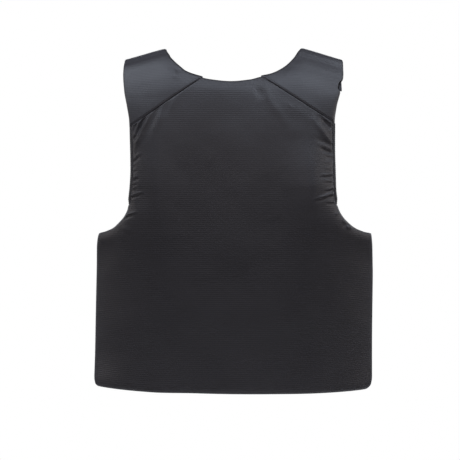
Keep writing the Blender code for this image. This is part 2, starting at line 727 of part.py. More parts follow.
def make_side_strap(side_name, level, collection):
    side = YOKES[side_name].side
    middle = SIDE_STRAP_HEIGHTS[level]
    heights = middle - side * SIDE_STRAP_WIDTH * np.array([-0.5, 0.0, 0.5])
    paths = [np.column_stack([path, np.full(len(path), height)])
             for height in heights for path in [strap_path(side, height)]]
    points = np.stack(paths, axis=1)
    sheet_object(f"side_strap_{side_name}_{level}", points, SIDE_STRAP_THICKNESS, ELASTIC, collection)


def main():
    for old in list(bpy.data.objects):
        bpy.data.objects.remove(old)
    collection = bpy.data.collections.new("stab_vest")
    bpy.context.scene.collection.children.link(collection)
    make_back(collection)
    make_front(collection)
    for name in YOKES:
        make_yoke(name, collection)
        make_strap(name, collection)
        make_edging(name, collection)
        for level in SIDE_STRAP_HEIGHTS:
            make_side_strap(name, level, collection)


main()
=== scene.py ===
"""The looks of a soft stab vest, seen from behind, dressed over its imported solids.

Every piece lies on one skin, the outer surface of the worn vest. A place on it is given by x,
to the side, and by q, the square root of the fall below the shoulder's roll: q is positive down
the back, zero on the roll and negative down the front. Sizes are in millimetres until a mesh
is made.
"""
from collections import namedtuple
from math import cos, radians, sin

import bpy
import numpy as np
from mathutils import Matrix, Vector


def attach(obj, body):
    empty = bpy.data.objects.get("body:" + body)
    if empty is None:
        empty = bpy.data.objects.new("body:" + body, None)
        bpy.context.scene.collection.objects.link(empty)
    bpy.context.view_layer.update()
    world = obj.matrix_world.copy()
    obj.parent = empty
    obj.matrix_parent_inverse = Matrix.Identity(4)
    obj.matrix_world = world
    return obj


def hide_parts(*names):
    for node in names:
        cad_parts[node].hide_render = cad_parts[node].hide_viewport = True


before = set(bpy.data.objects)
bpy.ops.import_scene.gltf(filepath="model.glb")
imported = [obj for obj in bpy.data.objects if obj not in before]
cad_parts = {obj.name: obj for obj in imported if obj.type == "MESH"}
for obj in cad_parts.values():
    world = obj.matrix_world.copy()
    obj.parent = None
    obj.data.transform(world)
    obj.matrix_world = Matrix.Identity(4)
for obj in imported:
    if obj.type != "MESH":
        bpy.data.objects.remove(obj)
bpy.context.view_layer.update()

MM = 0.001


def table(kind, rows):
    """Rows of plain numbers as rows with named values."""
    return tuple(kind(*map(float, row)) for row in rows)


# The shoulder's roll, with height zero where the shoulder pieces rest on the wearer
Roll = namedtuple("Roll", "top slope")
ROLLS = {"left": Roll(16.8, 0.285), "right": Roll(18.0, 0.302)}
ROLL_BREAK_X = 110.0
ROLL_SOFTNESS = 6.0
ROLL_BLEND_WIDTH = 120.0

# The skin's sections, by fall below the roll: depth from its line, and the ellipse's half breadth
Section = namedtuple("Section", "fall depth breadth")
BACK_SECTIONS = table(Section, (
    (0, 0, 300), (0.5, 6, 300), (2, 12.2, 300), (5, 20, 300), (8, 27.5, 300), (11, 34.8, 300),
    (13, 38.2, 300), (15, 40.8, 300), (18, 43.9, 300), (21, 46.6, 300), (25, 49.7, 300),
    (35, 56.3, 300), (55, 68, 300), (76, 77.6, 300), (110, 87.5, 300), (150, 95, 292),
    (200, 101, 277), (260, 105, 260), (330, 107.5, 247), (420, 107.5, 247), (500, 102.5, 249),
    (600, 100.5, 251),
))
FRONT_SECTIONS = table(Section, (
    (0, 0, 300), (3.2, 17.6, 300), (14.6, 38, 300), (30, 57, 298), (55, 78, 292),
    (110, 108, 280), (170, 128, 265), (240, 141, 248), (330, 147, 238), (470, 141, 236),
    (600, 136, 238),
))

# The outlines: half width at each height, left and right, from the shoulder's end to the hem
Edge = namedtuple("Edge", "height left right")
BACK_EDGES = table(Edge, (
    (20, 181.5, 183.5), (-26, 182, 182.8), (-57, 179.2, 176.4), (-83, 174, 169.4),
    (-109, 169.8, 166), (-135, 169, 166), (-187, 167.9, 166.4), (-213, 169.3, 166.9),
    (-235, 171.9, 169.3), (-248, 174, 173), (-262, 180.2, 180.4), (-275, 191.2, 192.2),
    (-282, 199, 201.6), (-289, 213.6, 217.2), (-293, 224.8, 230), (-303, 226.6, 230.6),
    (-364, 229.5, 234.1), (-425, 231.9, 234.4), (-560, 236, 234.9),
))
FRONT_EDGES = table(Edge, (
    (20, 176, 176), (-60, 168, 168), (-120, 152, 152), (-200, 148, 148), (-245, 158, 158),
    (-278, 186, 186), (-291, 211, 211), (-330, 214, 214), (-560, 216, 216),
))

# The neckline at the back, from the left shoulder's roll to the right one's
Place = namedtuple("Place", "x height")
NECKLINE = table(Place, (
    (-113.6, 14.2), (-110.8, 9.5), (-106.9, 3.9), (-103.9, -1.7), (-99.2, -6.9), (-94, -12.1),
    (-87.2, -18), (-78.5, -25), (-62.5, -31.8), (-38, -38.2), (-5, -41.2), (26.7, -38.1),
    (45, -33.4), (59.3, -30.2), (84.1, -17.5), (101.1, -1), (110, 11.6), (113.5, 15.4),
))

# Each yoke: its seam's ends at the back, and its flap's corners on the front
Yoke = namedtuple("Yoke", "side tip_x tip_height arm_x arm_height flap_neck_x flap_arm_x flap_fall")
YOKES = {
    "left": Yoke(-1, -50.0, -35.4, -169.0, -117.6, -112.0, -166.0, 96.0),
    "right": Yoke(1, 45.0, -33.4, 165.6, -111.6, 108.0, 166.0, 96.0),
}

# Folds and puckers: a line from the first point to the second, its half width and its height
# outwards, and how much of that height is left at each end
Fold = namedtuple("Fold", "x0 height0 x1 height1 half_width rise start end")
BACK_FOLDS = table(Fold, (
    (-141, -96, -159, -136, 3.2, -3.4, 0.5, 0.3),
    (-131, -88, -157, -141, 3.6, 2, 0.3, 0.6),
    (-120, -81, -143, -138, 5, -1.3, 0.4, 0.2),
    (-148, -130, -158, -148, 4.2, 1.2, 0.5, 0.5),
    (-149, -100, -160, -130, 2.8, 2, 0.4, 0.6),
    (-154.5, -106, -163, -129, 2.2, -2.2, 0.5, 0.3),
    (-110, -76, -128, -130, 5, 0.9, 0.4, 0.1),
    (-104, -70, -117, -106, 5.5, -0.8, 0.5, 0),
    (-92, -64, -104, -100, 6, 0.6, 0.5, 0),
    (-161, -173.4, -150, -163, 2.4, -1, 1, 0),
    (-159, -168, -148, -156.5, 2.6, 0.7, 1, 0),
    (-162, -182, -156, -178.5, 2, -0.5, 1, 0),
    (-162, -190.4, -155, -187.5, 2, -0.6, 1, 0),
    (-163, -199, -152, -195.5, 2.2, 0.6, 1, 0),
    (-162, -204, -151, -199.6, 2.2, -0.9, 1, 0),
    (-162, -211.6, -153, -208.8, 2, -0.6, 1, 0),
    (-164, -220, -154, -217, 2, -0.6, 1, 0),
    (-166, -227.4, -140, -220, 2, 1.1, 1, 0),
    (-166, -231.8, -144, -224.8, 1.8, -0.8, 1, 0),
    (-178, -260, -152, -253, 2.2, 1.2, 1, 0),
    (-178, -265.2, -158, -258, 2, -0.9, 1, 0),
    (-176, -281, -165, -286, 4, 0.8, 1, 0.2),
    (33, -45, 49, -76, 5, -1.4, 0.8, 0),
    (46, -38, 56, -70, 6, 1.1, 0.6, 0.4),
    (54, -68, 84, -111, 7, 1, 0.5, 0.5),
    (84, -111, 100, -140, 12, 0.6, 0.6, 0),
    (141, -101, 156, -118, 3.4, -2, 0.3, 0.7),
    (146, -101.5, 159, -111, 2, 1, 0.3, 0.8),
    (130, -106, 157, -141, 5, 1.6, 0.3, 0.9),
    (132, -135.5, 156, -145.5, 4, -1.2, 0.1, 0.9),
    (137, -150.5, 156, -158.5, 3.2, -1.8, 0.1, 1),
    (134, -142, 156, -151, 3.6, 0.5, 0.1, 1),
    (146, -164.5, 158, -167.5, 2.2, -0.8, 0.1, 1),
    (144, -160.5, 158, -163, 2.4, 0.5, 0.1, 1),
    (146, -173.5, 160, -174.5, 1.8, 0.45, 0, 1),
    (144, -182.5, 160, -183, 1.8, 0.45, 0, 1),
    (136, -194.8, 162, -193, 1.9, 1, 0, 1),
    (133, -199.2, 161, -196.8, 1.7, -0.6, 0, 1),
    (144, -203.4, 161, -204, 1.8, 0.7, 0, 1),
    (143, -207.2, 159, -206.8, 1.6, -0.4, 0, 1),
    (144, -219, 162, -214.7, 1.9, 1, 0, 1),
    (143, -222.8, 162, -218.2, 1.7, -0.7, 0, 1),
    (124, -234.2, 164, -223, 2.2, 1.7, 0, 1),
    (125, -239, 163, -227.6, 2, -1, 0, 1),
    (147, -237, 167, -237.8, 2, 0.9, 0, 1),
    (146, -240.8, 162, -241.2, 1.8, -0.5, 0, 1),
    (162, -258.6, 173, -255.8, 2.2, 0.9, 0.1, 1),
    (174, -267.5, 183, -270, 3.2, 1.2, 0.1, 1),
    (182, -279, 190, -278.5, 3.2, 1.2, 0.1, 1),
    (176, -280, 185.5, -272, 2.4, -0.9, 0.1, 1),
    (89, -79, 94, -87, 1.8, 0.4, 0.5, 0.5),
    (51, -267, 68, -259, 4, 0.25, 0.4, 0.4),
))
YOKE_FOLDS = table(Fold, (
    (-100, -20, -82, -27, 4, -0.5, 0.2, 0.2),
    (-104, -30, -84, -38, 5, 0.5, 0.2, 0.2),
    (98, 0, 112, -12, 6, -0.5, 0.2, 0.2),
    (84, -24, 96, -28, 5, 0.4, 0.2, 0.2),
))

# How much less deep the back is at the right shoulder, by fall below the roll
Lean = namedtuple("Lean", "fall depth")
RIGHT_LEAN = table(Lean, (
    (0, 0), (2, -0.3), (5, -2.7), (8, -6.3), (11, -10.4), (13, -11.8), (17, -12.8), (30, -11.2),
    (55, -7.7), (76, -6.2), (110, -3.9), (150, -1.8), (200, 0.2), (260, 1.2), (330, 1),
    (420, 0), (600, 0),
))
LEAN_HALF_WIDTH = 40.0

# How far the back stands out beyond the sections towards each side, by height
Swell = namedtuple("Swell", "height left right")
SWELLS = table(Swell, (
    (-556, 8, 2.5), (-480, 0, 0), (-420, 1.5, 2.5), (-330, 6, 9), (-260, 10, 15),
    (-215, 9.8, 15.6), (-190, 8.4, 12.6), (-160, 6, 6.6), (-130, 3.8, 2), (-100, 1.6, 0.2),
    (-70, 0, 0),
))
SWELL_FROM_X = 60.0
SWELL_WIDTH = 74.0

# How far the back's sides turn forwards at the armholes, by height
Curl = namedtuple("Curl", "height left right")
CURLS = table(Curl, (
    (-300, 0, 0), (-268, 1.5, 3), (-228, 6, 11), (-165, 6, 12), (-120, 3, 5), (-60, 0, 0),
    (20, 0, 0),
))
CURL_WIDTH = 48.0
CURL_MOST = 1.2
CURL_EASE = 1.6

# How the back's cloth turns forwards along the neck's edge
NECK_SHIFT = 1.2
NECK_SHIFT_WIDTH = 20.0
NECK_SHIFT_EASE = 1.6
NECK_SHIFT_Q = 5.0
NECK_PLACES = 90

# Thicknesses: a panel's padding, its sewn rim, and the single cloths
PANEL_THICKNESS = 10.0
PANEL_RIM = 3.5
PADDING_MARGIN = 28.0
YOKE_THICKNESS = 4.0
BAND_THICKNESS = 3.0
LAYER_GAP = 0.8
RIM_BULGE = 1.3

# How edges turn inwards: how far, and from how far away
Turn = namedtuple("Turn", "drop width")
EDGE_ROLL = Turn(2.2, 11.0)
SEAM_ROLL = Turn(0.8, 2.0)
SEAM_EDGE_ROLL = Turn(0.9, 1.3)
YOKE_ROLL = Turn(1.2, 4.0)
YOKE_ARM_ROLL = Turn(0.5, 2.0)
YOKE_TURN_ROLL = Turn(1.8, 7.0)
YOKE_TURN_FROM = -50.0
YOKE_TURN_FADE = 30.0

# The same for the back's sides, by height
EdgeRoll = namedtuple("EdgeRoll", "height drop width")
SIDE_ROLLS = table(EdgeRoll, (
    (-560, 1.8, 9), (-314, 1.8, 9), (-287, 4.2, 22), (-252, 4.4, 20), (-226, 2, 7), (-80, 2, 7),
))

# The shade in the yokes' seams: its breadth on the yoke and on the rest, and where it fades
SEAM_SHADE_WIDTH = 1.3
SEAM_SHADE_REST = 0.8
SEAM_SHADE_FROM = 0.08
SEAM_SHADE_RISE = 0.25
SEAM_SHADE_TO = 0.84
SEAM_SHADE_FALL = 0.2

# The dark strip along the neck's edge: the turned facing with painted shade, widened on the left
# yoke, from a height upwards, by painted shade of the flap's inner side
FACING_AND_SHADE_WIDTH = 1.3
PAINTED_NECK_SHADE = {"left": 2.2, "right": 0.0}
PAINTED_NECK_SHADE_FROM = -16.0
PAINTED_NECK_SHADE_HEIGHT = 26.0

# The hem: its height at the middle, the rise towards its corners, and the corners' radii
HEM_HEIGHT = -550.3
HEM_TILT = -0.012
HEM_RISE = 0.6
HEM_RISE_X = 200.0
CORNER_RADII = {"left": 11.0, "right": 16.0}
FRONT_HEM_HEIGHT = -528.0
FRONT_CORNER_RADIUS = 40.0
FRONT_NECK_HEIGHT = -92.0
FRONT_TOP_HEIGHT = -52.0
FRONT_NECK_HALF_WIDTH = 96.0
FRONT_TAB_SLOPE = 0.3
FRONT_INSET = YOKE_THICKNESS + BAND_THICKNESS + 2 * LAYER_GAP

# The edging round the straight stretch of each armhole
EDGING_HALF_WIDTH = 2.8
EDGING_HALF_THICKNESS = 2.3
EDGING_BOTTOM = -236.0
EDGING_INSET = 4.0
EDGING_OUT = {"left": 0.2, "right": 0.7}
EDGING_TUCK = 1.2
EDGING_FADE = 10.0

# The bands under the yokes, and the notch in the right yoke's edge where the band shows, with
# painted shadow along the notch's edge
BAND_NECK_X = 122.0
BAND_ARM_X = 176.0
BAND_BACK_HEIGHT = -53.5
BAND_FRONT_FALL = 150.0
BAND_SHOWN_X = 179.2
BAND_SHOWN_FROM = 0.72
BAND_SHOWN_BY = 0.86
BAND_ARM_TAPER = 0.09
BAND_NECK_TAPER = 0.05
NOTCH_HEIGHT = -48.5
NOTCH_HALF_HEIGHT = 8.5
NOTCH_DEPTH = 4.0
NOTCH_SHADE_WIDTH = 1.4

# The side straps
SIDE_STRAP_WIDTH = 50.0
SIDE_STRAP_THICKNESS = 2.0
SIDE_STRAP_HEIGHTS = {"upper": -365.0, "lower": -470.0}
SIDE_STRAP_GAP = 0.8
SIDE_STRAP_BACK_X = np.array([176.0, 188.0, 200.0, 211.0])
SIDE_STRAP_TURN_X = 221.0
SIDE_STRAP_TURN_Y = (-6.0, 22.0)
SIDE_STRAP_FRONT_X = np.array([207.0, 195.0, 180.0, 165.0])

# Working: steps for the skin's slope, rounds for a row that follows an edge, points handled at a
# time, and fine divisions for measuring a length
NORMAL_STEP_X = 1.0
NORMAL_STEP_Q = 0.02
ROUNDS = 20
BATCH = 512
LEAST_LENGTH = 1e-9
FINE_Q = np.linspace(0.0, 26.0, 800)
FINE_HEIGHTS = 2000


def unit(vectors):
    """The same directions at length one."""
    length = np.linalg.norm(vectors, axis=-1, keepdims=True)
    return vectors / np.maximum(length, LEAST_LENGTH)


def running(steps):
    """Sum of the steps up to each place, from zero."""
    return np.concatenate([[0.0], np.cumsum(steps)])


def run_along(path):
    """Length along a path at each of its points."""
    return running(np.linalg.norm(np.diff(path, axis=0), axis=1))


def smooth_curve(places, values, at):
    """A curve through the places that never swings past them: cubics that are flat at a turn."""
    places = np.asarray(places, float)
    values = np.asarray(values, float)
    steps = np.diff(places)
    slopes = np.diff(values) / steps
    tangents = np.zeros_like(values)
    tangents[0] = slopes[0]
    tangents[-1] = slopes[-1]
    for i in range(1, len(places) - 1):
        if slopes[i - 1] * slopes[i] > 0:
            before = 2 * steps[i] + steps[i - 1]
            after = steps[i] + 2 * steps[i - 1]
            tangents[i] = (before + after) / (before / slopes[i - 1] + after / slopes[i])
    at = np.clip(np.asarray(at, float), places[0], places[-1])
    i = np.clip(np.searchsorted(places, at) - 1, 0, len(places) - 2)
    t = (at - places[i]) / steps[i]
    start = values[i] * (1 + 2 * t) * (1 - t) ** 2 + tangents[i] * steps[i] * t * (1 - t) ** 2
    end = values[i + 1] * t * t * (3 - 2 * t) + tangents[i + 1] * steps[i] * t * t * (t - 1)
    return start + end


def row_curve(rows, value, at):
    """A smooth curve through one value of a table's rows, over their first value."""
    return smooth_curve([row[0] for row in rows], [getattr(row, value) for row in rows], at)


def side_curve(rows, x, height):
    """The left or the right value of a table's rows, by the side on which x lies."""
    return np.where(x < 0, row_curve(rows, "left", height), row_curve(rows, "right", height))


def smooth_step(t):
    t = np.clip(t, 0.0, 1.0)
    return t * t * (3 - 2 * t)


def roll_height(x):
    """Height of the shoulder's roll: level over the neck, then falling outwards."""
    left, right = ROLLS["left"], ROLLS["right"]
    top = left.top + (right.top - left.top) * smooth_step(x / ROLL_BLEND_WIDTH + 0.5)
    outwards = ROLL_SOFTNESS * np.logaddexp(0.0, (np.abs(x) - ROLL_BREAK_X) / ROLL_SOFTNESS)
    return top - np.where(x < 0, left.slope, right.slope) * outwards


def q_at(x, height):
    """The back's q at a height."""
    return np.sqrt(np.maximum(roll_height(x) - height, 0.0))


def section_depth(sections, x, q):
    """How far the skin stands out from the roll's line, without lean, swell and curl."""
    root_falls = [np.sqrt(section.fall) for section in sections]
    depth = smooth_curve(root_falls, [section.depth for section in sections], np.abs(q))
    breadth = row_curve(sections, "breadth", q * q)
    return depth * np.sqrt(np.maximum(1 - (x / breadth) ** 2, 0.0))


def lean(x, q):
    """How much deeper the back is at a fall on one side than on the other."""
    return row_curve(RIGHT_LEAN, "depth", q * q) * smooth_step((x / LEAN_HALF_WIDTH + 1) / 2)


def swell(x, height):
    """How far the back stands out beyond its sections."""
    share = smooth_step((np.abs(x) - SWELL_FROM_X) / SWELL_WIDTH)
    return side_curve(SWELLS, x, height) * share


def curl(x, height):
    """How far the back's sides turn forwards near the armholes."""
    edge = side_curve(BACK_EDGES[::-1], x, height)
    near = np.clip(1 - (edge - np.abs(x)) / CURL_WIDTH, 0.0, CURL_MOST)
    return side_curve(CURLS, x, height) * near ** CURL_EASE


def neck_shift(x, q, height):
    """How far the back's cloth turns forwards near the neck's edge."""
    line_x = np.linspace(NECKLINE[0].x, NECKLINE[-1].x, NECK_PLACES)
    line = np.stack([line_x, np.zeros_like(line_x), neck_height(line_x)], axis=-1)
    gap = distance_to_line(np.stack([x, np.zeros_like(x), height], axis=-1), line)
    near = np.clip(1 - gap / NECK_SHIFT_WIDTH, 0.0, 1.0)
    return NECK_SHIFT * near ** NECK_SHIFT_EASE * smooth_step(q / NECK_SHIFT_Q)


def bare_skin(x, q):
    """Points of the skin itself, as an array with x, y and z last."""
    x, q = np.broadcast_arrays(x, q)
    height = roll_height(x) - q * q
    depth = section_depth(BACK_SECTIONS, x, q) + lean(x, q) + swell(x, height) - curl(x, height)
    back = neck_shift(x, q, height) - depth
    front = section_depth(FRONT_SECTIONS, x, q)
    return np.stack([x, np.where(q > 0, back, front), height], axis=-1)


def skin_normal(x, q):
    """The skin's outward direction."""
    across = bare_skin(x + NORMAL_STEP_X, q) - bare_skin(x - NORMAL_STEP_X, q)
    along = bare_skin(x, q - NORMAL_STEP_Q) - bare_skin(x, q + NORMAL_STEP_Q)
    return unit(np.cross(across, along))


def skin(x, q, inward=0.0):
    """Points that lie the stated distance inside the skin."""
    x, q, inward = np.broadcast_arrays(*(np.asarray(value, float) for value in (x, q, inward)))
    return bare_skin(x, q) - skin_normal(x, q) * inward[..., None]


def half_width(edges, side, height):
    """The outline's half width at a height, on the left (-1) or the right (1)."""
    return row_curve(edges[::-1], "left" if side < 0 else "right", height)


def neck_height(x):
    return row_curve(NECKLINE, "height", x)


def seam_height(yoke, x):
    """Height of a yoke's seam at the back, a straight line from its tip to the armhole."""
    share = (x - yoke.tip_x) / (yoke.arm_x - yoke.tip_x)
    return yoke.tip_height + (yoke.arm_height - yoke.tip_height) * share


def relief(folds, x, height):
    """How far the folds lift the skin at each place."""
    total = np.zeros_like(x)
    for fold in folds:
        run = np.array([fold.x1 - fold.x0, fold.height1 - fold.height0])
        share = ((x - fold.x0) * run[0] + (height - fold.height0) * run[1]) / (run @ run)
        near = np.clip(share, 0.0, 1.0)
        gap_x = x - fold.x0 - near * run[0]
        gap_z = height - fold.height0 - near * run[1]
        strength = fold.start + (1 - fold.start) * smooth_step(2 * near)
        strength = strength * (fold.end + (1 - fold.end) * smooth_step(2 - 2 * near))
        total += fold.rise * strength * np.exp(-(gap_x ** 2 + gap_z ** 2) / fold.half_width ** 2)
    return total


def rim_loop(grid):
    """The grid's rim, once round, as indices into its rows and columns."""
    rows, columns = grid.shape[:2]
    index = np.arange(rows * columns).reshape(rows, columns)
    return np.concatenate([index[0, :-1], index[:-1, -1], index[-1, :0:-1], index[:0:-1, 0]])


def distance_to_line(points, line):
    """Distance from each point to a line of points."""
    flat = points.reshape(-1, 3)
    runs = np.diff(line, axis=0)
    length = np.maximum((runs ** 2).sum(-1), LEAST_LENGTH)
    nearest = np.empty(len(flat))
    for start in range(0, len(flat), BATCH):
        offset = flat[start:start + BATCH, None, :] - line[:-1]
        share = np.clip((offset * runs).sum(-1) / length, 0.0, 1.0)
        gap = offset - share[..., None] * runs
        nearest[start:start + BATCH] = np.sqrt((gap ** 2).sum(-1).min(-1))
    return nearest.reshape(points.shape[:-1])


def distance_to_rim(points):
    """Distance from each point of a grid to the grid's rim."""
    rim = points.reshape(-1, 3)[rim_loop(points)]
    return distance_to_line(points, np.concatenate([rim, rim[:1]]))


def rolled(distance, drop, width):
    """How far an edge has rolled inwards, this near to the rim."""
    t = np.clip(1 - distance / width, 0.0, 1.0)
    return drop * (1 - np.sqrt(1 - t * t))


# A soft unevenness of the cloth, from random heights on a lattice: how far apart they are, and the
# most that they lift the cloth
Waves = namedtuple("Waves", "seed pitch amount")
BACK_WAVES = (Waves(3, 46.0, 0.7), Waves(4, 21.0, 0.25))
FRONT_WAVES = (Waves(7, 50.0, 0.8), Waves(8, 22.0, 0.3))
YOKE_WAVES = {"left": Waves(10, 30.0, 0.35), "right": Waves(12, 30.0, 0.35)}
PANEL_WAVES_MARGIN = 20.0
YOKE_WAVES_MARGIN = 14.0
YOKE_FRONT_SHIFT = 40.0
LATTICE = 64
LATTICE_MIDDLE = (32.0, 48.0)


def unevenness(x, height, waves):
    """How far the waves lift the cloth, blended smoothly between the lattice's places."""
    lattice = np.random.default_rng(waves.seed).uniform(-1.0, 1.0, (LATTICE, LATTICE))
    u = x / waves.pitch + LATTICE_MIDDLE[0]
    v = height / waves.pitch + LATTICE_MIDDLE[1]
    i = np.floor(u).astype(int)
    j = np.floor(v).astype(int)
    s = smooth_step(u - i)
    t = smooth_step(v - j)
    i, j = i % LATTICE, j % LATTICE
    ni, nj = (i + 1) % LATTICE, (j + 1) % LATTICE
    low = lattice[i, j] * (1 - s) + lattice[ni, j] * s
    high = lattice[i, nj] * (1 - s) + lattice[ni, nj] * s
    return waves.amount * (low * (1 - t) + high * t)


# The weave is level across the vest from this q on
LEVEL_Q = 7.0


def cloth_down(q):
    """Length down the cloth from the roll, along the middle of the vest."""
    lengths = []
    for sections in (BACK_SECTIONS, FRONT_SECTIONS):
        depth = section_depth(sections, np.zeros_like(FINE_Q), FINE_Q)
        lengths.append(running(np.hypot(np.diff(depth), np.diff(FINE_Q ** 2))))
    return np.where(q > 0, np.interp(q, FINE_Q, lengths[0]), -np.interp(-q, FINE_Q, lengths[1]))


def skin_length(x, q):
    """Length down the cloth, level across the vest away from the roll: the weave follows it."""
    level = ROLLS["right"].top - roll_height(x)
    return cloth_down(q) + np.sign(q) * smooth_step(np.abs(q) / LEVEL_Q) * level


def cloth_uv(x, q):
    """The cloth's own measure: across the vest, and down the cloth."""
    return np.stack([x, skin_length(x, q)], axis=-1)


# Materials. A cloth's rib is its ribs' pitch, and its depth is how deep they seem, in millimetres
Cloth = namedtuple("Cloth", "red green blue roughness specular sheen rib depth")
CLOTHS = {
    "panel": Cloth(0.0366, 0.0334, 0.0354, 0.46, 0.42, 0.12, 3.2, 0.042),
    "yoke": Cloth(0.037, 0.0345, 0.037, 0.45, 0.44, 0.12, 3.2, 0.028),
    # The dark turned facing along the neck's edge, with painted shade
    "facing_and_shade": Cloth(0.022, 0.02, 0.02, 0.6, 0.25, 0.12, 1.6, 0.05),
    "seam_shade": Cloth(0.006, 0.005, 0.005, 0.8, 0.08, 0.02, 1.6, 0.05),
    "edging": Cloth(0.056, 0.051, 0.05, 0.62, 0.3, 0.15, 1.6, 0.08),
    "band": Cloth(0.052, 0.052, 0.06, 0.55, 0.35, 0.15, 2.0, 0.16),
    "elastic": Cloth(0.018, 0.018, 0.02, 0.68, 0.25, 0.2, 1.8, 0.3),
}
CLOTH_BLUE_SHEEN = (0.8, 0.86, 1.0, 1.0)
CLOTH_SHEEN_ROUGHNESS = 0.45

# Noises, by places in a metre: the ribs' wander and change, the thread's thick spots, and blotches
WANDER_SCALE = 220.0
CHANGE_SCALE = 30.0
SLUB_SCALE = 900.0
BLOTCH_SCALE = 14.0
RIB_WANDER = 1.6
RIB_CHANGE = 1.4

# Fine threads to a rib, across and down, and heights and tones against the rib's; the rib's tone is
# painted shade, darker in its valleys and lighter on its crests
THREADS_ACROSS = 3.2
THREADS_DOWN = 4.0
WEAVE_HEIGHT = 0.35
SLUB_HEIGHT = 0.8
BASE_TONE = 0.86
RIB_PAINTED_SHADE = 0.12
BLOTCH_TONE = 0.2
SLUB_TONE = 0.08
BLOTCH_ROUGHNESS = 0.1

THREADS = {"seam": (0.018, 0.017, 0.019), "edging": (0.004, 0.004, 0.004)}
THREAD_ROUGHNESS = 0.55
THREAD_SPECULAR = 0.3
THREAD_TWIST_SCALE = 1500.0
THREAD_LIGHTER = 1.6


def add_node(tree, kind, **values):
    node = tree.nodes.new(kind)
    for name, value in values.items():
        setattr(node, name, value)
    return node


def math_node(tree, operation, *values):
    node = add_node(tree, "ShaderNodeMath", operation=operation)
    for socket, value in zip(node.inputs, values):
        if isinstance(value, (int, float)):
            socket.default_value = value
        else:
            tree.links.new(value, socket)
    return node.outputs[0]


def noise_node(tree, vector, scale, detail=2.0):
    node = add_node(tree, "ShaderNodeTexNoise")
    node.inputs["Scale"].default_value = scale
    node.inputs["Detail"].default_value = detail
    tree.links.new(vector, node.inputs["Vector"])
    return node.outputs["Fac"]


def new_material(name, **values):
    """A material, its node tree and its shader, with the shader's inputs by their names."""
    material = bpy.data.materials.new(name)
    material.use_nodes = True
    shader = material.node_tree.nodes["Principled BSDF"]
    for label, value in values.items():
        shader.inputs[label.replace("_", " ")].default_value = value
    return material, material.node_tree, shader


def cloth_material(name, cloth):
    """Ribbed cloth, in metres of its UV map: ribs run across the piece, finer threads down it."""
    material, tree, shader = new_material(name, Specular_IOR_Level=cloth.specular,
                                          Sheen_Weight=cloth.sheen, Sheen_Tint=CLOTH_BLUE_SHEEN,
                                          Sheen_Roughness=CLOTH_SHEEN_ROUGHNESS)
    place = add_node(tree, "ShaderNodeTexCoord").outputs["UV"]
    parts = add_node(tree, "ShaderNodeSeparateXYZ")
    tree.links.new(place, parts.inputs[0])
    across, down = parts.outputs["X"], parts.outputs["Y"]
    turns = 2 * np.pi / (cloth.rib * MM)
    wander = math_node(tree, "MULTIPLY", noise_node(tree, place, WANDER_SCALE), RIB_WANDER)
    rib = math_node(tree, "SINE", math_node(tree, "MULTIPLY_ADD", down, turns, wander))
    change = noise_node(tree, place, CHANGE_SCALE, 3.0)
    strength = math_node(tree, "MULTIPLY_ADD", change, RIB_CHANGE, 1 - RIB_CHANGE / 2)
    rib = math_node(tree, "MULTIPLY", rib, strength)
    thread = math_node(tree, "SINE", math_node(tree, "MULTIPLY", across, turns * THREADS_ACROSS))
    second = math_node(tree, "SINE", math_node(tree, "MULTIPLY", down, turns * THREADS_DOWN))
    woven = math_node(tree, "MULTIPLY", thread, second)
    slub = noise_node(tree, place, SLUB_SCALE, 3.0)
    height = math_node(tree, "MULTIPLY_ADD", woven, WEAVE_HEIGHT, rib)
    height = math_node(tree, "MULTIPLY_ADD", slub, SLUB_HEIGHT, height)
    bump = add_node(tree, "ShaderNodeBump")
    bump.inputs["Strength"].default_value = 1.0
    bump.inputs["Distance"].default_value = cloth.depth * MM
    tree.links.new(height, bump.inputs["Height"])
    tree.links.new(bump.outputs[0], shader.inputs["Normal"])
    blotch = noise_node(tree, place, BLOTCH_SCALE, 3.0)
    # Painted shade: the colour follows the rib, darker in its valleys and lighter on its crests
    tone = math_node(tree, "MULTIPLY_ADD", rib, RIB_PAINTED_SHADE, BASE_TONE)
    tone = math_node(tree, "MULTIPLY_ADD", blotch, BLOTCH_TONE, tone)
    tone = math_node(tree, "MULTIPLY_ADD", slub, SLUB_TONE, tone)
    colour = add_node(tree, "ShaderNodeMix", data_type="RGBA", blend_type="MULTIPLY")
    colour.inputs[0].default_value = 1.0
    colour.inputs[6].default_value = (cloth.red, cloth.green, cloth.blue, 1.0)
    tree.links.new(tone, colour.inputs[7])
    tree.links.new(colour.outputs[2], shader.inputs["Base Color"])
    smoothest = cloth.roughness - BLOTCH_ROUGHNESS / 2
    rough = math_node(tree, "MULTIPLY_ADD", blotch, BLOTCH_ROUGHNESS, smoothest)
    tree.links.new(rough, shader.inputs["Roughness"])
    return material


def thread_material(name, tone):
    """Twisted sewing thread."""
    material, tree, shader = new_material(name, Roughness=THREAD_ROUGHNESS,
                                          Specular_IOR_Level=THREAD_SPECULAR)
    place = add_node(tree, "ShaderNodeTexCoord").outputs["Object"]
    twist = noise_node(tree, place, THREAD_TWIST_SCALE)
    colour = add_node(tree, "ShaderNodeMix", data_type="RGBA")
    colour.inputs[6].default_value = (*tone, 1.0)
    colour.inputs[7].default_value = (*(THREAD_LIGHTER * c for c in tone), 1.0)
    tree.links.new(twist, colour.inputs[0])
    tree.links.new(colour.outputs[2], shader.inputs["Base Color"])
    return material


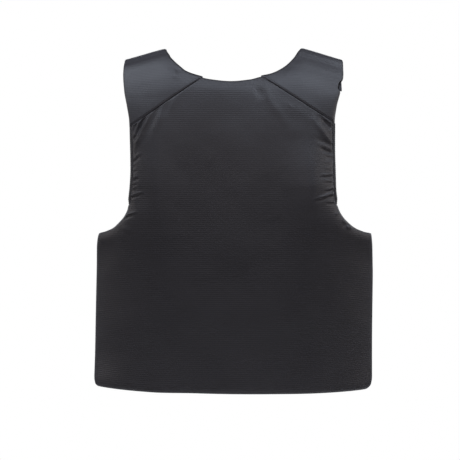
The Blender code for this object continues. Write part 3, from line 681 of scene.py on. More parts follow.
def new_mesh_object(name, points, faces, material, uv=None, trims=()):
    """A mesh in one material; trims are further materials, each with the faces that have it."""
    mesh = bpy.data.meshes.new(name)
    mesh.from_pydata((points * MM).tolist(), [], faces)
    mesh.shade_smooth()
    mesh.materials.append(material)
    if trims:
        slots = np.zeros(len(faces), np.int32)
        for slot, (trim, marked) in enumerate(trims, 1):
            mesh.materials.append(trim)
            slots[marked] = slot
        mesh.polygons.foreach_set("material_index", slots)
    if uv is not None:
        layer = mesh.uv_layers.new(name="cloth")
        corners = np.empty(len(mesh.loops), int)
        mesh.loops.foreach_get("vertex_index", corners)
        layer.uv.foreach_set("vector", (uv[corners] * MM).astype(np.float32).ravel())
    piece = bpy.data.objects.new(name, mesh)
    bpy.context.scene.collection.objects.link(piece)
    return piece


def shell(name, outer, inner, uv, material, bulge=RIM_BULGE, rings=6, trims=()):
    """A closed body of cloth: an outer grid, an inner grid, and a rounded rim between them.

    trims are further materials, each with the places of the grid that have it.
    """
    rows, columns = outer.shape[:2]
    count = rows * columns
    index = np.arange(count).reshape(rows, columns)
    corners = [index[:-1, :-1], index[:-1, 1:], index[1:, 1:], index[1:, :-1]]
    quads = np.stack(corners, axis=-1).reshape(-1, 4)
    loop = rim_loop(outer)
    flat_outer = outer.reshape(-1, 3)
    flat_inner = inner.reshape(-1, 3)
    rim_outer = flat_outer[loop]
    rim_inner = flat_inner[loop]
    along = np.roll(rim_outer, -1, axis=0) - np.roll(rim_outer, 1, axis=0)
    outward = unit(np.cross(along, rim_outer - rim_inner))
    points = [flat_outer, flat_inner]
    ring_index = [loop]
    for k in range(1, rings):
        angle = np.pi * k / rings
        ring = rim_outer + (rim_inner - rim_outer) * (1 - np.cos(angle)) / 2
        points.append(ring + outward * bulge * np.sin(angle))
        ring_index.append(2 * count + (k - 1) * len(loop) + np.arange(len(loop)))
    ring_index.append(count + loop)
    faces = [quads, quads[:, ::-1] + count]
    for first, second in zip(ring_index[:-1], ring_index[1:]):
        faces.append(np.stack([first, second, np.roll(second, -1), np.roll(first, -1)], axis=-1))
    flat_uv = uv.reshape(-1, 2)
    all_uv = np.concatenate([flat_uv, flat_uv] + [flat_uv[loop]] * (rings - 1))
    face_trims = []
    for trim, places in trims:
        flat = places.reshape(-1)
        on_rim = np.tile(flat[loop] & np.roll(flat[loop], -1), rings)
        marked = np.concatenate([flat[quads].all(-1), np.zeros(len(quads), bool), on_rim])
        face_trims.append((trim, marked))
    all_faces = np.concatenate(faces).tolist()
    return new_mesh_object(name, np.concatenate(points), all_faces, material, all_uv, face_trims)


# A tape's ends are drawn in, and its cloth is longer round it than its breadth and thickness
TAPE_SIDES = 12
TAPE_END = 0.55
TAPE_GIRTH = 1.5

# A stitch, and the shape of its thread: lifted in the middle, dipping and thin at both ends
Stitch = namedtuple("Stitch", "pitch length radius")
SEAM_STITCH = Stitch(3.0, 2.1, 0.34)
EDGING_STITCH = Stitch(3.2, 1.5, 0.42)
STITCH_SIDES = 6
STITCH_STATIONS = np.linspace(-0.5, 0.5, 6)
STITCH_LIFTS = 0.6 - 2.2 * (2 * STITCH_STATIONS) ** 4
STITCH_GIRTHS = np.sqrt(np.maximum(1.02 - (2 * STITCH_STATIONS) ** 2, 0.05))


def round_the(sides):
    """Cosine and sine of each place round a ring, as columns."""
    angle = np.linspace(0.0, 2 * np.pi, sides, endpoint=False)[:, None]
    return np.cos(angle), np.sin(angle)


def ring_faces(first, second, sides):
    """The faces between two rings of points, each given by its first point."""
    pairs = [(i, (i + 1) % sides) for i in range(sides)]
    return [[first + i, first + j, second + j, second + i] for i, j in pairs]


def tape(name, path, out, aside, material):
    """A closed rounded tape swept along a path, with its broad face outwards."""
    cosine, sine = round_the(TAPE_SIDES)
    rows = []
    ends = np.ones(len(path))
    ends[[0, -1]] = TAPE_END
    for k, centre in enumerate(path):
        ring = aside[k] * (EDGING_HALF_WIDTH * cosine * ends[k])
        rows.append(centre + (ring + out[k] * (EDGING_HALF_THICKNESS * sine * ends[k])))
    points = np.concatenate(rows + [path[:1], path[-1:]])
    last_ring = (len(path) - 1) * TAPE_SIDES
    faces = []
    for start in range(0, last_ring, TAPE_SIDES):
        faces += ring_faces(start, start + TAPE_SIDES, TAPE_SIDES)
    first, last = len(points) - 2, len(points) - 1
    for i in range(TAPE_SIDES):
        j = (i + 1) % TAPE_SIDES
        faces += [[first, j, i], [last, last_ring + i, last_ring + j]]
    girth = 2 * (EDGING_HALF_WIDTH + EDGING_HALF_THICKNESS) * TAPE_GIRTH
    around = np.linspace(0.0, girth, TAPE_SIDES)
    uv = np.stack([np.tile(around, len(path)), np.repeat(run_along(path), TAPE_SIDES)], axis=-1)
    uv = np.concatenate([uv, uv[:1], uv[-1:]])
    return new_mesh_object(name, points, faces, material, uv)


def stitches(name, path, outward, stitch, material):
    """A row of sewn stitches along a path: short threads that dip into the cloth at both ends."""
    run = run_along(path)
    count = int(run[-1] / stitch.pitch)
    cosine, sine = round_the(STITCH_SIDES)
    points, faces = [], []
    for k in range(count):
        middle = (k + 0.5) * run[-1] / count
        at = middle + STITCH_STATIONS * stitch.length
        centre = np.stack([np.interp(at, run, path[:, i]) for i in range(3)], axis=-1)
        out = unit(np.array([np.interp(middle, run, outward[:, i]) for i in range(3)]))
        ring = cosine * np.cross(out, unit(centre[-1] - centre[0])) + sine * out
        start = k * len(STITCH_STATIONS) * STITCH_SIDES
        for place, lift, girth in zip(centre, STITCH_LIFTS, STITCH_GIRTHS):
            points.append(place + stitch.radius * lift * out + ring * (stitch.radius * girth))
        last_ring = start + (len(STITCH_STATIONS) - 1) * STITCH_SIDES
        for base in range(start, last_ring, STITCH_SIDES):
            faces += ring_faces(base, base + STITCH_SIDES, STITCH_SIDES)
        faces.append([start + i for i in reversed(range(STITCH_SIDES))])
        faces.append([last_ring + i for i in range(STITCH_SIDES)])
    return new_mesh_object(name, np.concatenate(points), faces, material)


def settle(piece, slot, *nodes):
    """Every piece rides on the vest, and stands for the nodes named."""
    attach(piece, "root")
    if nodes:
        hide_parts(*nodes)
    return piece


# The panels' grids: columns, crowded towards the sides, level rows at a pitch, and rows that are
# eased from the level ones into the hem and the upper edge
BACK_COLUMNS = 165
BACK_CROWDING = 0.5
BACK_PITCH = 2.9
PUCKER_PITCH = 1.4
PUCKERS_FROM = -290.0
BACK_LEVELS = (-505.0, -134.0)
BACK_HEM_ROWS = 22
BACK_TOP_ROWS = 38
FRONT_COLUMNS = 121
FRONT_CROWDING = 0.4
FRONT_PITCH = 3.4
FRONT_LEVELS = (-485.0, -130.0)
FRONT_HEM_ROWS = 18
FRONT_TOP_ROWS = 22
ROW_EASE = 1.4

# Room for the rounded rims at a yoke's seam, as shares of their bulge: below the seam, and above it
SEAM_BELOW = 0.4
SEAM_ABOVE = 0.7

# How near a yoke's tip the seam still counts, how far from a seam and an arm edge the folds are
# whole, and the padding that is left under the deepest fold
TIP_REACH = 1.0
SEAM_SEWN = 3.0
ARM_SEWN = 4.0
LEAST_PADDING = 2.5


def spread(columns, crowding):
    """Shares from -1 to 1 that lie closer together towards both ends."""
    even = np.linspace(-1.0, 1.0, columns)
    return crowding * np.sin(even * np.pi / 2) + (1 - crowding) * even


def hem_height(x, height, tilt, rise, edges, radii):
    """The hem at x, with its rounded corners: radii are the left and the right corner's."""
    hem = height + tilt * x + rise * (x / HEM_RISE_X) ** 2
    for side, radius in zip((-1, 1), radii):
        past = side * x - (half_width(edges, side, height) - radius)
        t = np.clip(past / radius, 0.0, 1.0)
        hem = hem + radius * (1 - np.sqrt(1 - t * t))
    return hem


def grid_x(edges, share, height, inset=0.0):
    """The x of each share of the outline's half width."""
    left = -(half_width(edges, -1, height) - inset)
    right = half_width(edges, 1, height) - inset
    return np.where(share < 0, -share * left, share * right)


def level_rows(edges, lowest, highest, pitch):
    """Heights between two levels, as far apart along the outline as the pitch."""
    fine = np.linspace(lowest, highest, FINE_HEIGHTS)
    steps = [np.hypot(np.diff(half_width(edges, side, fine)), np.diff(fine)) for side in (-1, 1)]
    run = running((steps[0] + steps[1]) / 2)
    count = int(abs(run[-1]) / pitch)
    return np.interp(np.linspace(0.0, run[-1], count), run, fine)


def eased(count):
    """Shares from 0 to 1 that start close together."""
    return np.linspace(0.0, 1.0, count) ** ROW_EASE


def rows_to_edge(edges, share, level, edge, inset, steps):
    """Rows from a level one towards an upper edge, which bends where the rows' sides do."""
    rows = []
    for step in steps:
        height = np.full_like(share, level)
        for _ in range(ROUNDS):
            x = grid_x(edges, share, height, inset(height))
            height = level + (edge(x) - level) * step
        rows.append((x, height))
    return rows


def rows_to_hem(edges, share, level, hem, steps):
    """Rows from a level one towards the hem."""
    heights = [hem + (level - hem) * step for step in steps]
    return [(grid_x(edges, share, height, RIM_BULGE), height) for height in heights]


def back_top(x):
    """The back panel's upper edge: the neckline in the middle, and the yokes' seams beside it."""
    left, right = YOKES["left"], YOKES["right"]
    top = neck_height(np.clip(x, left.tip_x, right.tip_x))
    top = np.where(x < left.tip_x, seam_height(left, x), top)
    top = np.where(x > right.tip_x, seam_height(right, x), top)
    in_neck = (x > left.tip_x) & (x < right.tip_x)
    return top - np.where(in_neck, RIM_BULGE, RIM_BULGE * SEAM_BELOW)


def seam_shade(x):
    """How deep the shade in a yoke's seam is, from 0 at its ends to 1 in its middle."""
    yoke_share = [(x - yoke.tip_x) / (yoke.arm_x - yoke.tip_x) for yoke in YOKES.values()]
    share = np.maximum(*yoke_share)
    rising = smooth_step((share - SEAM_SHADE_FROM) / SEAM_SHADE_RISE)
    return rising * smooth_step((SEAM_SHADE_TO - share) / SEAM_SHADE_FALL)


def edging_inset(height):
    """Room left for the armhole's edging, which ends below."""
    share = smooth_step((height - EDGING_BOTTOM) / EDGING_FADE + 1.0)
    return RIM_BULGE + (EDGING_INSET - RIM_BULGE) * share


def back_grid():
    """x and height of the back panel's grid, from the hem's row up to the yokes' and the neck's."""
    share = spread(BACK_COLUMNS, BACK_CROWDING)
    radii = (CORNER_RADII["left"] - RIM_BULGE, CORNER_RADII["right"] - RIM_BULGE)
    hem_x = grid_x(BACK_EDGES, share, HEM_HEIGHT, RIM_BULGE)
    hem = hem_height(hem_x, HEM_HEIGHT, HEM_TILT, HEM_RISE, BACK_EDGES, radii) + RIM_BULGE
    lowest, highest = BACK_LEVELS
    rows = rows_to_hem(BACK_EDGES, share, lowest, hem, eased(BACK_HEM_ROWS)[:-1])
    low_levels = level_rows(BACK_EDGES, lowest, PUCKERS_FROM, BACK_PITCH)
    high_levels = level_rows(BACK_EDGES, PUCKERS_FROM, highest, PUCKER_PITCH)
    for level in np.concatenate([low_levels[:-1], high_levels]):
        height = np.full_like(share, level)
        rows.append((grid_x(BACK_EDGES, share, height, edging_inset(level)), height))
    steps = (1 - eased(BACK_TOP_ROWS))[::-1][1:]
    rows += rows_to_edge(BACK_EDGES, share, highest, back_top, edging_inset, steps)
    return map(np.array, zip(*rows))


def padded_thickness(distance):
    """A panel's thickness at a distance from its rim."""
    return PANEL_RIM + (PANEL_THICKNESS - PANEL_RIM) * smooth_step(distance / PADDING_MARGIN)


def side_roll(height, distance):
    """How far the back's cloth has rolled inwards near its sides."""
    drop = row_curve(SIDE_ROLLS, "drop", height)
    return rolled(distance, drop, row_curve(SIDE_ROLLS, "width", height))


def nearest(*distances):
    return np.minimum.reduce(distances)


def farthest(*inwards):
    return np.maximum.reduce(inwards)


def make_back(material, facing_and_shade, shade):
    x, height = back_grid()
    q = q_at(x, height)
    bare = skin(x, q)
    top = bare[-1]
    in_neck = (top[:, 0] > YOKES["left"].tip_x) & (top[:, 0] < YOKES["right"].tip_x)
    seam_left = top[top[:, 0] <= YOKES["left"].tip_x + TIP_REACH]
    seam_right = top[top[:, 0] >= YOKES["right"].tip_x - TIP_REACH]
    from_seam = nearest(distance_to_line(bare, seam_left), distance_to_line(bare, seam_right))
    from_arm = nearest(distance_to_line(bare, bare[:, 0]), distance_to_line(bare, bare[:, -1]))
    from_neck = distance_to_line(bare, top[in_neck])
    from_hem = distance_to_line(bare, bare[0])
    distance = nearest(from_neck, from_seam, from_hem, from_arm)
    inward = farthest(
        side_roll(height, from_arm) + rolled(from_hem, *EDGE_ROLL),
        rolled(from_seam, *SEAM_ROLL),
        rolled(from_neck, *YOKE_ROLL))
    soft = unevenness(x, height, BACK_WAVES[0]) + unevenness(x, height, BACK_WAVES[1])
    sewn = smooth_step(from_seam / SEAM_SEWN) * smooth_step(from_arm / ARM_SEWN)
    lifted = relief(BACK_FOLDS, x, height) * sewn
    lifted = lifted + soft * smooth_step(distance / PANEL_WAVES_MARGIN)
    outer = skin(x, q, inward - lifted)
    padding = padded_thickness(distance)
    inner = skin(x, q, np.maximum(inward + padding, inward - lifted + LEAST_PADDING))
    shaded = from_seam < SEAM_SHADE_REST * seam_shade(x)
    # Trims: the dark facing with painted shade along the neck's edge, and painted shade in the
    # seams
    trims = ((facing_and_shade, from_neck < FACING_AND_SHADE_WIDTH), (shade, shaded))
    cover = shell("back_cover", outer, inner, cloth_uv(x, q), material, trims=trims)
    settle(cover, "cloth", "back_panel")


def front_top(x):
    """The front panel's upper edge: a scooped neck between two shoulder tabs."""
    scoop = np.clip(np.abs(x) / FRONT_NECK_HALF_WIDTH, 0.0, 1.0)
    neck = FRONT_NECK_HEIGHT + (FRONT_TOP_HEIGHT - FRONT_NECK_HEIGHT) * scoop ** 3
    tab = FRONT_TOP_HEIGHT - FRONT_TAB_SLOPE * (np.abs(x) - FRONT_NECK_HALF_WIDTH)
    return np.where(np.abs(x) > FRONT_NECK_HALF_WIDTH, tab, neck) - RIM_BULGE


def front_grid():
    """x and height of the front panel's grid, from the neck's row down to the hem's."""
    share = spread(FRONT_COLUMNS, FRONT_CROWDING)
    lowest, highest = FRONT_LEVELS
    steps = (1 - eased(FRONT_TOP_ROWS))[:-1]
    rows = rows_to_edge(FRONT_EDGES, share, highest, front_top, lambda height: RIM_BULGE, steps)
    for level in level_rows(FRONT_EDGES, highest, lowest, FRONT_PITCH):
        height = np.full_like(share, level)
        rows.append((grid_x(FRONT_EDGES, share, height, RIM_BULGE), height))
    hem_x = grid_x(FRONT_EDGES, share, FRONT_HEM_HEIGHT, RIM_BULGE)
    radii = (FRONT_CORNER_RADIUS, FRONT_CORNER_RADIUS)
    hem = hem_height(hem_x, FRONT_HEM_HEIGHT, 0.0, 0.0, FRONT_EDGES, radii) + RIM_BULGE
    rows += rows_to_hem(FRONT_EDGES, share, lowest, hem, eased(FRONT_HEM_ROWS)[::-1][1:])
    return map(np.array, zip(*rows))


def make_front(material):
    x, height = front_grid()
    q = -q_at(x, height)
    distance = distance_to_rim(skin(x, q))
    inward = FRONT_INSET + rolled(distance, *EDGE_ROLL)
    soft = unevenness(x, height, FRONT_WAVES[0]) + unevenness(x, height, FRONT_WAVES[1])
    lifted = soft * smooth_step(distance / PANEL_WAVES_MARGIN)
    outer = skin(x, q, inward - lifted)
    inner = skin(x, q, inward + padded_thickness(distance))
    cover = shell("front_cover", outer, inner, cloth_uv(x, q), material)
    settle(cover, "cloth", "front_panel")


# The yokes
YOKE_BACK_ROWS = 110
YOKE_FRONT_ROWS = 80
YOKE_COLUMNS = 100
YOKE_CROWDING = 0.75
YOKE_ROW_EASE = 1.25
NECK_EDGE_EASE = 1.4


def notch_inset(side, height):
    """The right yoke's edge draws in where the band under it shows."""
    if side < 0:
        return 0.0
    return NOTCH_DEPTH * np.exp(-((height - NOTCH_HEIGHT) / NOTCH_HALF_HEIGHT) ** 4)


def yoke_rim(yoke, along, across):
    """The four sides of a yoke's back part, in x and q: seam, roll, neck edge and arm edge."""
    roll_neck_x = NECKLINE[0].x if yoke.side < 0 else NECKLINE[-1].x
    neck_x = yoke.tip_x + (roll_neck_x - yoke.tip_x) * (1 - (1 - along) ** NECK_EDGE_EASE)
    neck_q = q_at(neck_x, neck_height(neck_x))
    neck_q[-1] = 0.0
    seam_x = yoke.tip_x + (yoke.arm_x - yoke.tip_x) * across
    seam_q = q_at(seam_x, seam_height(yoke, seam_x) + RIM_BULGE * SEAM_ABOVE)
    seam_q[0] = neck_q[0]
    arm_q = seam_q[-1] * (1 - along)
    arm_x = np.full_like(along, yoke.arm_x)
    for _ in range(ROUNDS):
        arm_height = roll_height(arm_x) - arm_q ** 2
        width = half_width(BACK_EDGES, yoke.side, arm_height)
        arm_x = yoke.side * (width - notch_inset(yoke.side, arm_height) - RIM_BULGE)
    seam_x = yoke.tip_x + (arm_x[0] - yoke.tip_x) * across
    roll_x = neck_x[-1] + (arm_x[-1] - neck_x[-1]) * across
    return (seam_x, seam_q), (roll_x, np.zeros_like(across)), (neck_x, neck_q), (arm_x, arm_q)


def yoke_grid(yoke):
    """x and q over a yoke, from the seam over the roll to the flap's end, closest at the roll."""
    along = 1 - (1 - np.linspace(0.0, 1.0, YOKE_BACK_ROWS)) ** YOKE_ROW_EASE
    across = (spread(YOKE_COLUMNS, YOKE_CROWDING) + 1) / 2
    seam, roll, neck, arm = yoke_rim(yoke, along, across)
    r = along[:, None]
    c = across[None, :]
    back = []
    for k in (0, 1):
        ruled = (1 - r) * seam[k] + r * roll[k]
        ruled = ruled + (1 - c) * neck[k][:, None] + c * arm[k][:, None]
        seam_corners = (1 - c) * seam[k][0] + c * seam[k][-1]
        roll_corners = (1 - c) * roll[k][0] + c * roll[k][-1]
        back.append(ruled - (1 - r) * seam_corners - r * roll_corners)
    s = (np.linspace(0.0, 1.0, YOKE_FRONT_ROWS) ** YOKE_ROW_EASE)[1:, None]
    flap_x = yoke.flap_neck_x + (yoke.flap_arm_x - yoke.flap_neck_x) * c
    front_x = (1 - s) * roll[0] + s * flap_x
    front_q = -s * np.sqrt(yoke.flap_fall) * np.ones_like(c)
    return np.concatenate([back[0], front_x]), np.concatenate([back[1], front_q])


def mirrored_order(grids, side):
    """Turns round, on the left, grids whose columns run from the neck outwards: x keeps rising."""
    return [g[:, ::-1] if side < 0 else g for g in grids]


def make_yoke(name, material, facing_and_shade, shade):
    yoke = YOKES[name]
    x, q = mirrored_order(yoke_grid(yoke), yoke.side)
    bare = skin(x, q)
    neck, arm = (bare[:, -1], bare[:, 0]) if yoke.side < 0 else (bare[:, 0], bare[:, -1])
    from_neck = distance_to_line(bare, neck)
    from_arm = distance_to_line(bare, arm)
    from_seam = distance_to_line(bare, bare[0])
    from_flap = distance_to_line(bare, bare[-1])
    distance = nearest(from_neck, from_arm, from_seam, from_flap)
    height = roll_height(x) - q * q
    behind = q > 0
    inward = farthest(
        rolled(from_neck, *YOKE_ROLL),
        rolled(from_arm, *YOKE_ARM_ROLL),
        rolled(from_flap, *YOKE_ROLL),
        rolled(from_seam, *SEAM_EDGE_ROLL))
    if name == "right":
        turned = smooth_step((YOKE_TURN_FROM - height) / YOKE_TURN_FADE) * behind
        inward = farthest(inward, rolled(from_arm, *YOKE_TURN_ROLL) * turned)
    soft = unevenness(x, height + YOKE_FRONT_SHIFT * (q < 0), YOKE_WAVES[name])
    soft = soft * smooth_step(distance / YOKE_WAVES_MARGIN)
    lifted = (relief(YOKE_FOLDS, x, height) + soft) * behind
    outer = skin(x, q, inward - lifted)
    inner = skin(x, q, np.full_like(x, YOKE_THICKNESS))
    # The neck's edge gets the dark facing with painted shade; on the left yoke painted shade of the
    # flap's inner side widens it upwards
    up_neck = smooth_step((height - PAINTED_NECK_SHADE_FROM) / PAINTED_NECK_SHADE_HEIGHT)
    facing_and_shade_mask = from_neck < FACING_AND_SHADE_WIDTH + PAINTED_NECK_SHADE[name] * up_neck * behind
    # Painted shadow on the right yoke's edge in the notch, in the seams' shade
    notch_painted_shade = (from_arm < NOTCH_SHADE_WIDTH) & behind & (yoke.side > 0)
    notch_painted_shade &= np.abs(height - NOTCH_HEIGHT) < NOTCH_HALF_HEIGHT
    shaded = (from_seam < SEAM_SHADE_WIDTH * seam_shade(x)) | notch_painted_shade
    trims = ((facing_and_shade, facing_and_shade_mask), (shade, shaded))
    cover = shell(f"yoke_{name}_cover", outer, inner, cloth_uv(x, q), material, trims=trims)
    settle(cover, "yoke_cloth", f"yoke_{name}")


# The bands' and the side straps' grids, and how far their rims stand out, with the rings in them
BAND_COLUMNS = 28
BAND_BACK_ROWS = 60
BAND_FRONT_ROWS = 70
BAND_BULGE = 0.8
SIDE_STRAP_COLUMNS = 24
SIDE_STRAP_ROWS = 90
SIDE_STRAP_BULGE = 0.6
WEBBING_RINGS = 4


def make_band(name, material):
    """The band under a yoke: it starts on the front panel and ends behind the shoulder."""
    side = YOKES[name].side
    c = np.linspace(0.0, 1.0, BAND_COLUMNS)[None, :]
    back_q = float(q_at(BAND_ARM_X, BAND_BACK_HEIGHT))
    front_q = -float(np.sqrt(BAND_FRONT_FALL))
    back_rows = np.linspace(back_q, 0.0, BAND_BACK_ROWS)
    front_rows = np.linspace(0.0, front_q, BAND_FRONT_ROWS)
    q = np.concatenate([back_rows, front_rows[1:]])[:, None]
    shown = BAND_SHOWN_X if side > 0 else BAND_ARM_X
    shown_share = smooth_step((q / back_q - BAND_SHOWN_FROM) / (BAND_SHOWN_BY - BAND_SHOWN_FROM))
    arm_x = BAND_ARM_X + (shown - BAND_ARM_X) * shown_share
    front_fall = np.maximum(-q, 0.0) ** 2
    arm_x = arm_x - BAND_ARM_TAPER * front_fall
    neck_x = BAND_NECK_X - BAND_NECK_TAPER * front_fall
    x = side * (neck_x + (arm_x - neck_x) * c)
    x, q = mirrored_order((x, q * np.ones_like(c)), side)
    outer = skin(x, q, YOKE_THICKNESS + LAYER_GAP)
    inner = skin(x, q, YOKE_THICKNESS + LAYER_GAP + BAND_THICKNESS)
    uv = cloth_uv(x, q)
    band = shell(f"band_{name}", outer, inner, uv, material, BAND_BULGE, WEBBING_RINGS)
    settle(band, "band", f"strap_{name}")


# The edging's path: how far it runs on above and below, where it tucks in, and how deep it lies;
# its stitches lie on its outer shoulder
EDGING_ABOVE = 1.5
EDGING_BELOW = 6.0
EDGING_PLACES = 90
EDGING_TUCK_ABOVE = 4.0
EDGING_TUCK_HEIGHT = 10.0
EDGING_DEPTH = 2.9
EDGING_TUCK_DEPTH = 1.0
EDGING_SHOULDER = 0.7
EDGING_STITCH_OUT = 0.98


def make_edging(name, cloth, thread):
    """An armhole's edging: a folded tape over the panel's rim, sewn through on its outer side."""
    yoke = YOKES[name]
    side = yoke.side
    top, bottom = yoke.arm_height + EDGING_ABOVE, EDGING_BOTTOM - EDGING_BELOW
    heights = np.linspace(top, bottom, EDGING_PLACES)
    tuck = smooth_step((EDGING_BOTTOM + EDGING_TUCK_ABOVE - heights) / EDGING_TUCK_HEIGHT)
    x = side * (half_width(BACK_EDGES, side, heights) - EDGING_HALF_WIDTH)
    x += side * (EDGING_OUT[name] * (1 - tuck) - EDGING_TUCK * tuck)
    q = q_at(x, heights)
    normal = skin_normal(x, q)
    path = skin(x, q, EDGING_DEPTH + EDGING_TUCK_DEPTH * tuck)
    aside = unit(np.cross(normal, np.gradient(path, axis=0)))
    piece = tape(f"arm_edging_{name}_tape", path, normal, aside, cloth)
    settle(piece, "edging", f"arm_edging_{name}")
    outwards = (side * np.array([1.0, 0.0, 0.0]) + normal) * EDGING_SHOULDER
    on_top = path + outwards * (EDGING_HALF_THICKNESS * EDGING_STITCH_OUT)
    settle(stitches(f"arm_stitches_{name}", on_top, outwards, EDGING_STITCH, thread), "edging")


def strap_path(side, height):
    """A side strap's route from above: inside the back panel, forwards, over the front panel."""
    back_x = side * SIDE_STRAP_BACK_X
    front_x = side * SIDE_STRAP_FRONT_X
    rim_x = side * half_width(BACK_EDGES, side, height)
    bare = skin(back_x, q_at(back_x, height))
    from_rim = np.linalg.norm(bare - skin(rim_x, q_at(rim_x, height)), axis=-1)
    behind = padded_thickness(from_rim) + SIDE_STRAP_GAP
    back = skin(back_x, q_at(back_x, height), behind)[:, :2]
    middle = np.array([[side * SIDE_STRAP_TURN_X, y] for y in SIDE_STRAP_TURN_Y])
    before = FRONT_INSET - SIDE_STRAP_GAP - SIDE_STRAP_THICKNESS
    front = skin(front_x, -q_at(front_x, height), before)[:, :2]
    path = np.concatenate([back, middle, front])
    run = run_along(path)
    at = np.linspace(0.0, run[-1], SIDE_STRAP_ROWS)
    return np.stack([smooth_curve(run, path[:, k], at) for k in (0, 1)], axis=-1), at


def make_side_strap(side_name, level, material):
    side = YOKES[side_name].side
    middle = SIDE_STRAP_HEIGHTS[level]
    heights = middle - side * SIDE_STRAP_WIDTH * np.linspace(-0.5, 0.5, SIDE_STRAP_COLUMNS)
    paths = []
    for height in heights:
        path, at = strap_path(side, height)
        paths.append(np.column_stack([path, np.full(len(path), height)]))
    outer = np.stack(paths, axis=1)
    normal = unit(np.cross(np.gradient(outer, axis=1), np.gradient(outer, axis=0)))
    inner = outer - normal * SIDE_STRAP_THICKNESS
    uv = np.stack(np.broadcast_arrays(heights[None, :], at[:, None]), axis=-1)
    name = f"side_strap_{side_name}_{level}"
    strap = shell(f"{name}_elastic", outer, inner, uv, material, SIDE_STRAP_BULGE, WEBBING_RINGS)
    settle(strap, "elastic", name)


# A seam's stitches: how far they start from the yoke's tip and end from its arm edge and seam
SEAM_STITCHES_FROM_TIP = 6.0
SEAM_STITCHES_FROM_ARM = 3.0
SEAM_STITCHES_ABOVE = 4.2
SEAM_PLACES = 120


def make_seam_stitches(name, thread):
    """A row of stitches on the yoke, along its seam."""
    yoke = YOKES[name]
    start = yoke.tip_x + yoke.side * SEAM_STITCHES_FROM_TIP
    x = np.linspace(start, yoke.arm_x - yoke.side * SEAM_STITCHES_FROM_ARM, SEAM_PLACES)
    q = q_at(x, seam_height(yoke, x) + SEAM_STITCHES_ABOVE)
    path, normal = skin(x, q), skin_normal(x, q)
    settle(stitches(f"seam_stitches_{name}", path, normal, SEAM_STITCH, thread), "yoke_cloth")


# Light, floor and camera
CAMERA_PLACE = (-0.00567, -2.0, -0.1544)
CAMERA_PITCH = 3.86
LENS = 92.75
SENSOR = 36.0
FLOOR_HEIGHT = -0.95
FLOOR_RADIUS = 0.95
FLOOR_SIDES = 96
FLOOR_TONE = (0.9, 0.9, 0.9, 1.0)
FLOOR_ROUGHNESS = 0.9
FLOOR_SPECULAR = 0.1

# Soft boxes: azimuth 0 is behind the camera and rises to the right; sizes in metres, power in watts
Lamp = namedtuple("Lamp", "azimuth elevation width depth power colour")
LAMP_DISTANCE = 2.2
LAMP_AIM = (0.0, -0.05, -0.2)
LAMPS = {
    "high_front": Lamp(0.0, 60.0, 2.8, 0.4, 29.8, (0.77, 0.85, 1.0)),
    "high_left": Lamp(-60.0, 50.0, 0.6, 1.0, 14.0, (0.80, 0.87, 1.0)),
    "high_right": Lamp(60.0, 50.0, 0.6, 1.0, 12.4, (0.78, 0.86, 1.0)),
    "side_left": Lamp(-75.0, 10.0, 0.6, 1.4, 8.8, (1.0, 0.93, 0.90)),
    "side_right": Lamp(75.0, 10.0, 0.6, 1.4, 9.6, (1.0, 0.93, 0.90)),
    "fill": Lamp(0.0, 14.0, 1.6, 0.6, 3.7, (1.0, 0.88, 0.86)),
    "far_side": Lamp(180.0, 10.0, 2.0, 1.0, 14.0, (0.93, 0.95, 1.0)),
    "far_left": Lamp(-120.0, 5.0, 0.8, 1.2, 8.0, (0.95, 0.96, 1.0)),
    "far_right": Lamp(120.0, 5.0, 0.8, 1.2, 10.0, (0.95, 0.96, 1.0)),
}
WORLD_FILL = (0.006, 0.006, 0.006, 1.0)
WORLD_SEEN = (1.0, 1.0, 1.0, 1.0)


def make_world():
    """White where the camera sees it, and nearly dark for the light that it gives."""
    world = bpy.data.worlds.new("studio")
    bpy.context.scene.world = world
    world.use_nodes = True
    tree = world.node_tree
    background = tree.nodes["Background"]
    rays = add_node(tree, "ShaderNodeLightPath")
    seen = add_node(tree, "ShaderNodeMix", data_type="RGBA")
    seen.inputs[6].default_value = WORLD_FILL
    seen.inputs[7].default_value = WORLD_SEEN
    tree.links.new(rays.outputs["Is Camera Ray"], seen.inputs[0])
    tree.links.new(seen.outputs[2], background.inputs["Color"])


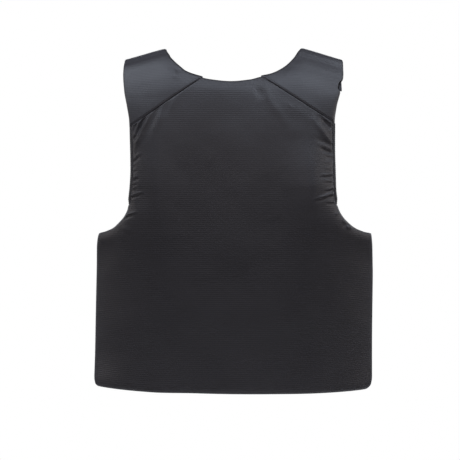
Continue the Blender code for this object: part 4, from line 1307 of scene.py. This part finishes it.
def area_light(name, lamp):
    azimuth, elevation = radians(lamp.azimuth), radians(lamp.elevation)
    level = LAMP_DISTANCE * cos(elevation)
    light = bpy.data.lights.new(name, "AREA")
    light.shape = "RECTANGLE"
    light.size = lamp.width
    light.size_y = lamp.depth
    light.energy = lamp.power
    light.color = lamp.colour
    box = bpy.data.objects.new(name, light)
    box.location = (level * sin(azimuth), -level * cos(azimuth), LAMP_DISTANCE * sin(elevation))
    box.rotation_euler = (Vector(LAMP_AIM) - box.location).to_track_quat("-Z", "Y").to_euler()
    box.visible_camera = False
    bpy.context.scene.collection.objects.link(box)


def make_stage():
    mesh = bpy.data.meshes.new("floor")
    turns = np.linspace(0.0, 2 * np.pi, FLOOR_SIDES, endpoint=False)
    rim = [(FLOOR_RADIUS * np.cos(t), FLOOR_RADIUS * np.sin(t), FLOOR_HEIGHT) for t in turns]
    mesh.from_pydata(rim, [], [tuple(range(len(rim)))])
    material, _, _ = new_material("pale_floor", Base_Color=FLOOR_TONE, Roughness=FLOOR_ROUGHNESS,
                                  Specular_IOR_Level=FLOOR_SPECULAR)
    mesh.materials.append(material)
    floor = bpy.data.objects.new("floor", mesh)
    bpy.context.scene.collection.objects.link(floor)


def make_camera():
    camera = bpy.data.objects.new("camera", bpy.data.cameras.new("camera"))
    camera.data.lens = LENS
    camera.data.sensor_width = SENSOR
    camera.location = CAMERA_PLACE
    camera.rotation_euler = (radians(90.0 - CAMERA_PITCH), 0.0, 0.0)
    bpy.context.scene.collection.objects.link(camera)
    bpy.context.scene.camera = camera


def main():
    make_camera()
    make_world()
    make_stage()
    for name, lamp in LAMPS.items():
        area_light(name, lamp)
    cloths = {name: cloth_material(f"{name}_cloth", cloth) for name, cloth in CLOTHS.items()}
    threads = {name: thread_material(f"{name}_thread", tone) for name, tone in THREADS.items()}
    facing_and_shade, shade = cloths["facing_and_shade"], cloths["seam_shade"]
    make_back(cloths["panel"], facing_and_shade, shade)
    make_front(cloths["panel"])
    for name in YOKES:
        make_yoke(name, cloths["yoke"], facing_and_shade, shade)
        make_band(name, cloths["band"])
        make_edging(name, cloths["edging"], threads["edging"])
        for level in SIDE_STRAP_HEIGHTS:
            make_side_strap(name, level, cloths["elastic"])
        make_seam_stitches(name, threads["seam"])


main()
view = bpy.context.scene.view_settings
view.view_transform = "Standard"
view.look = "None"
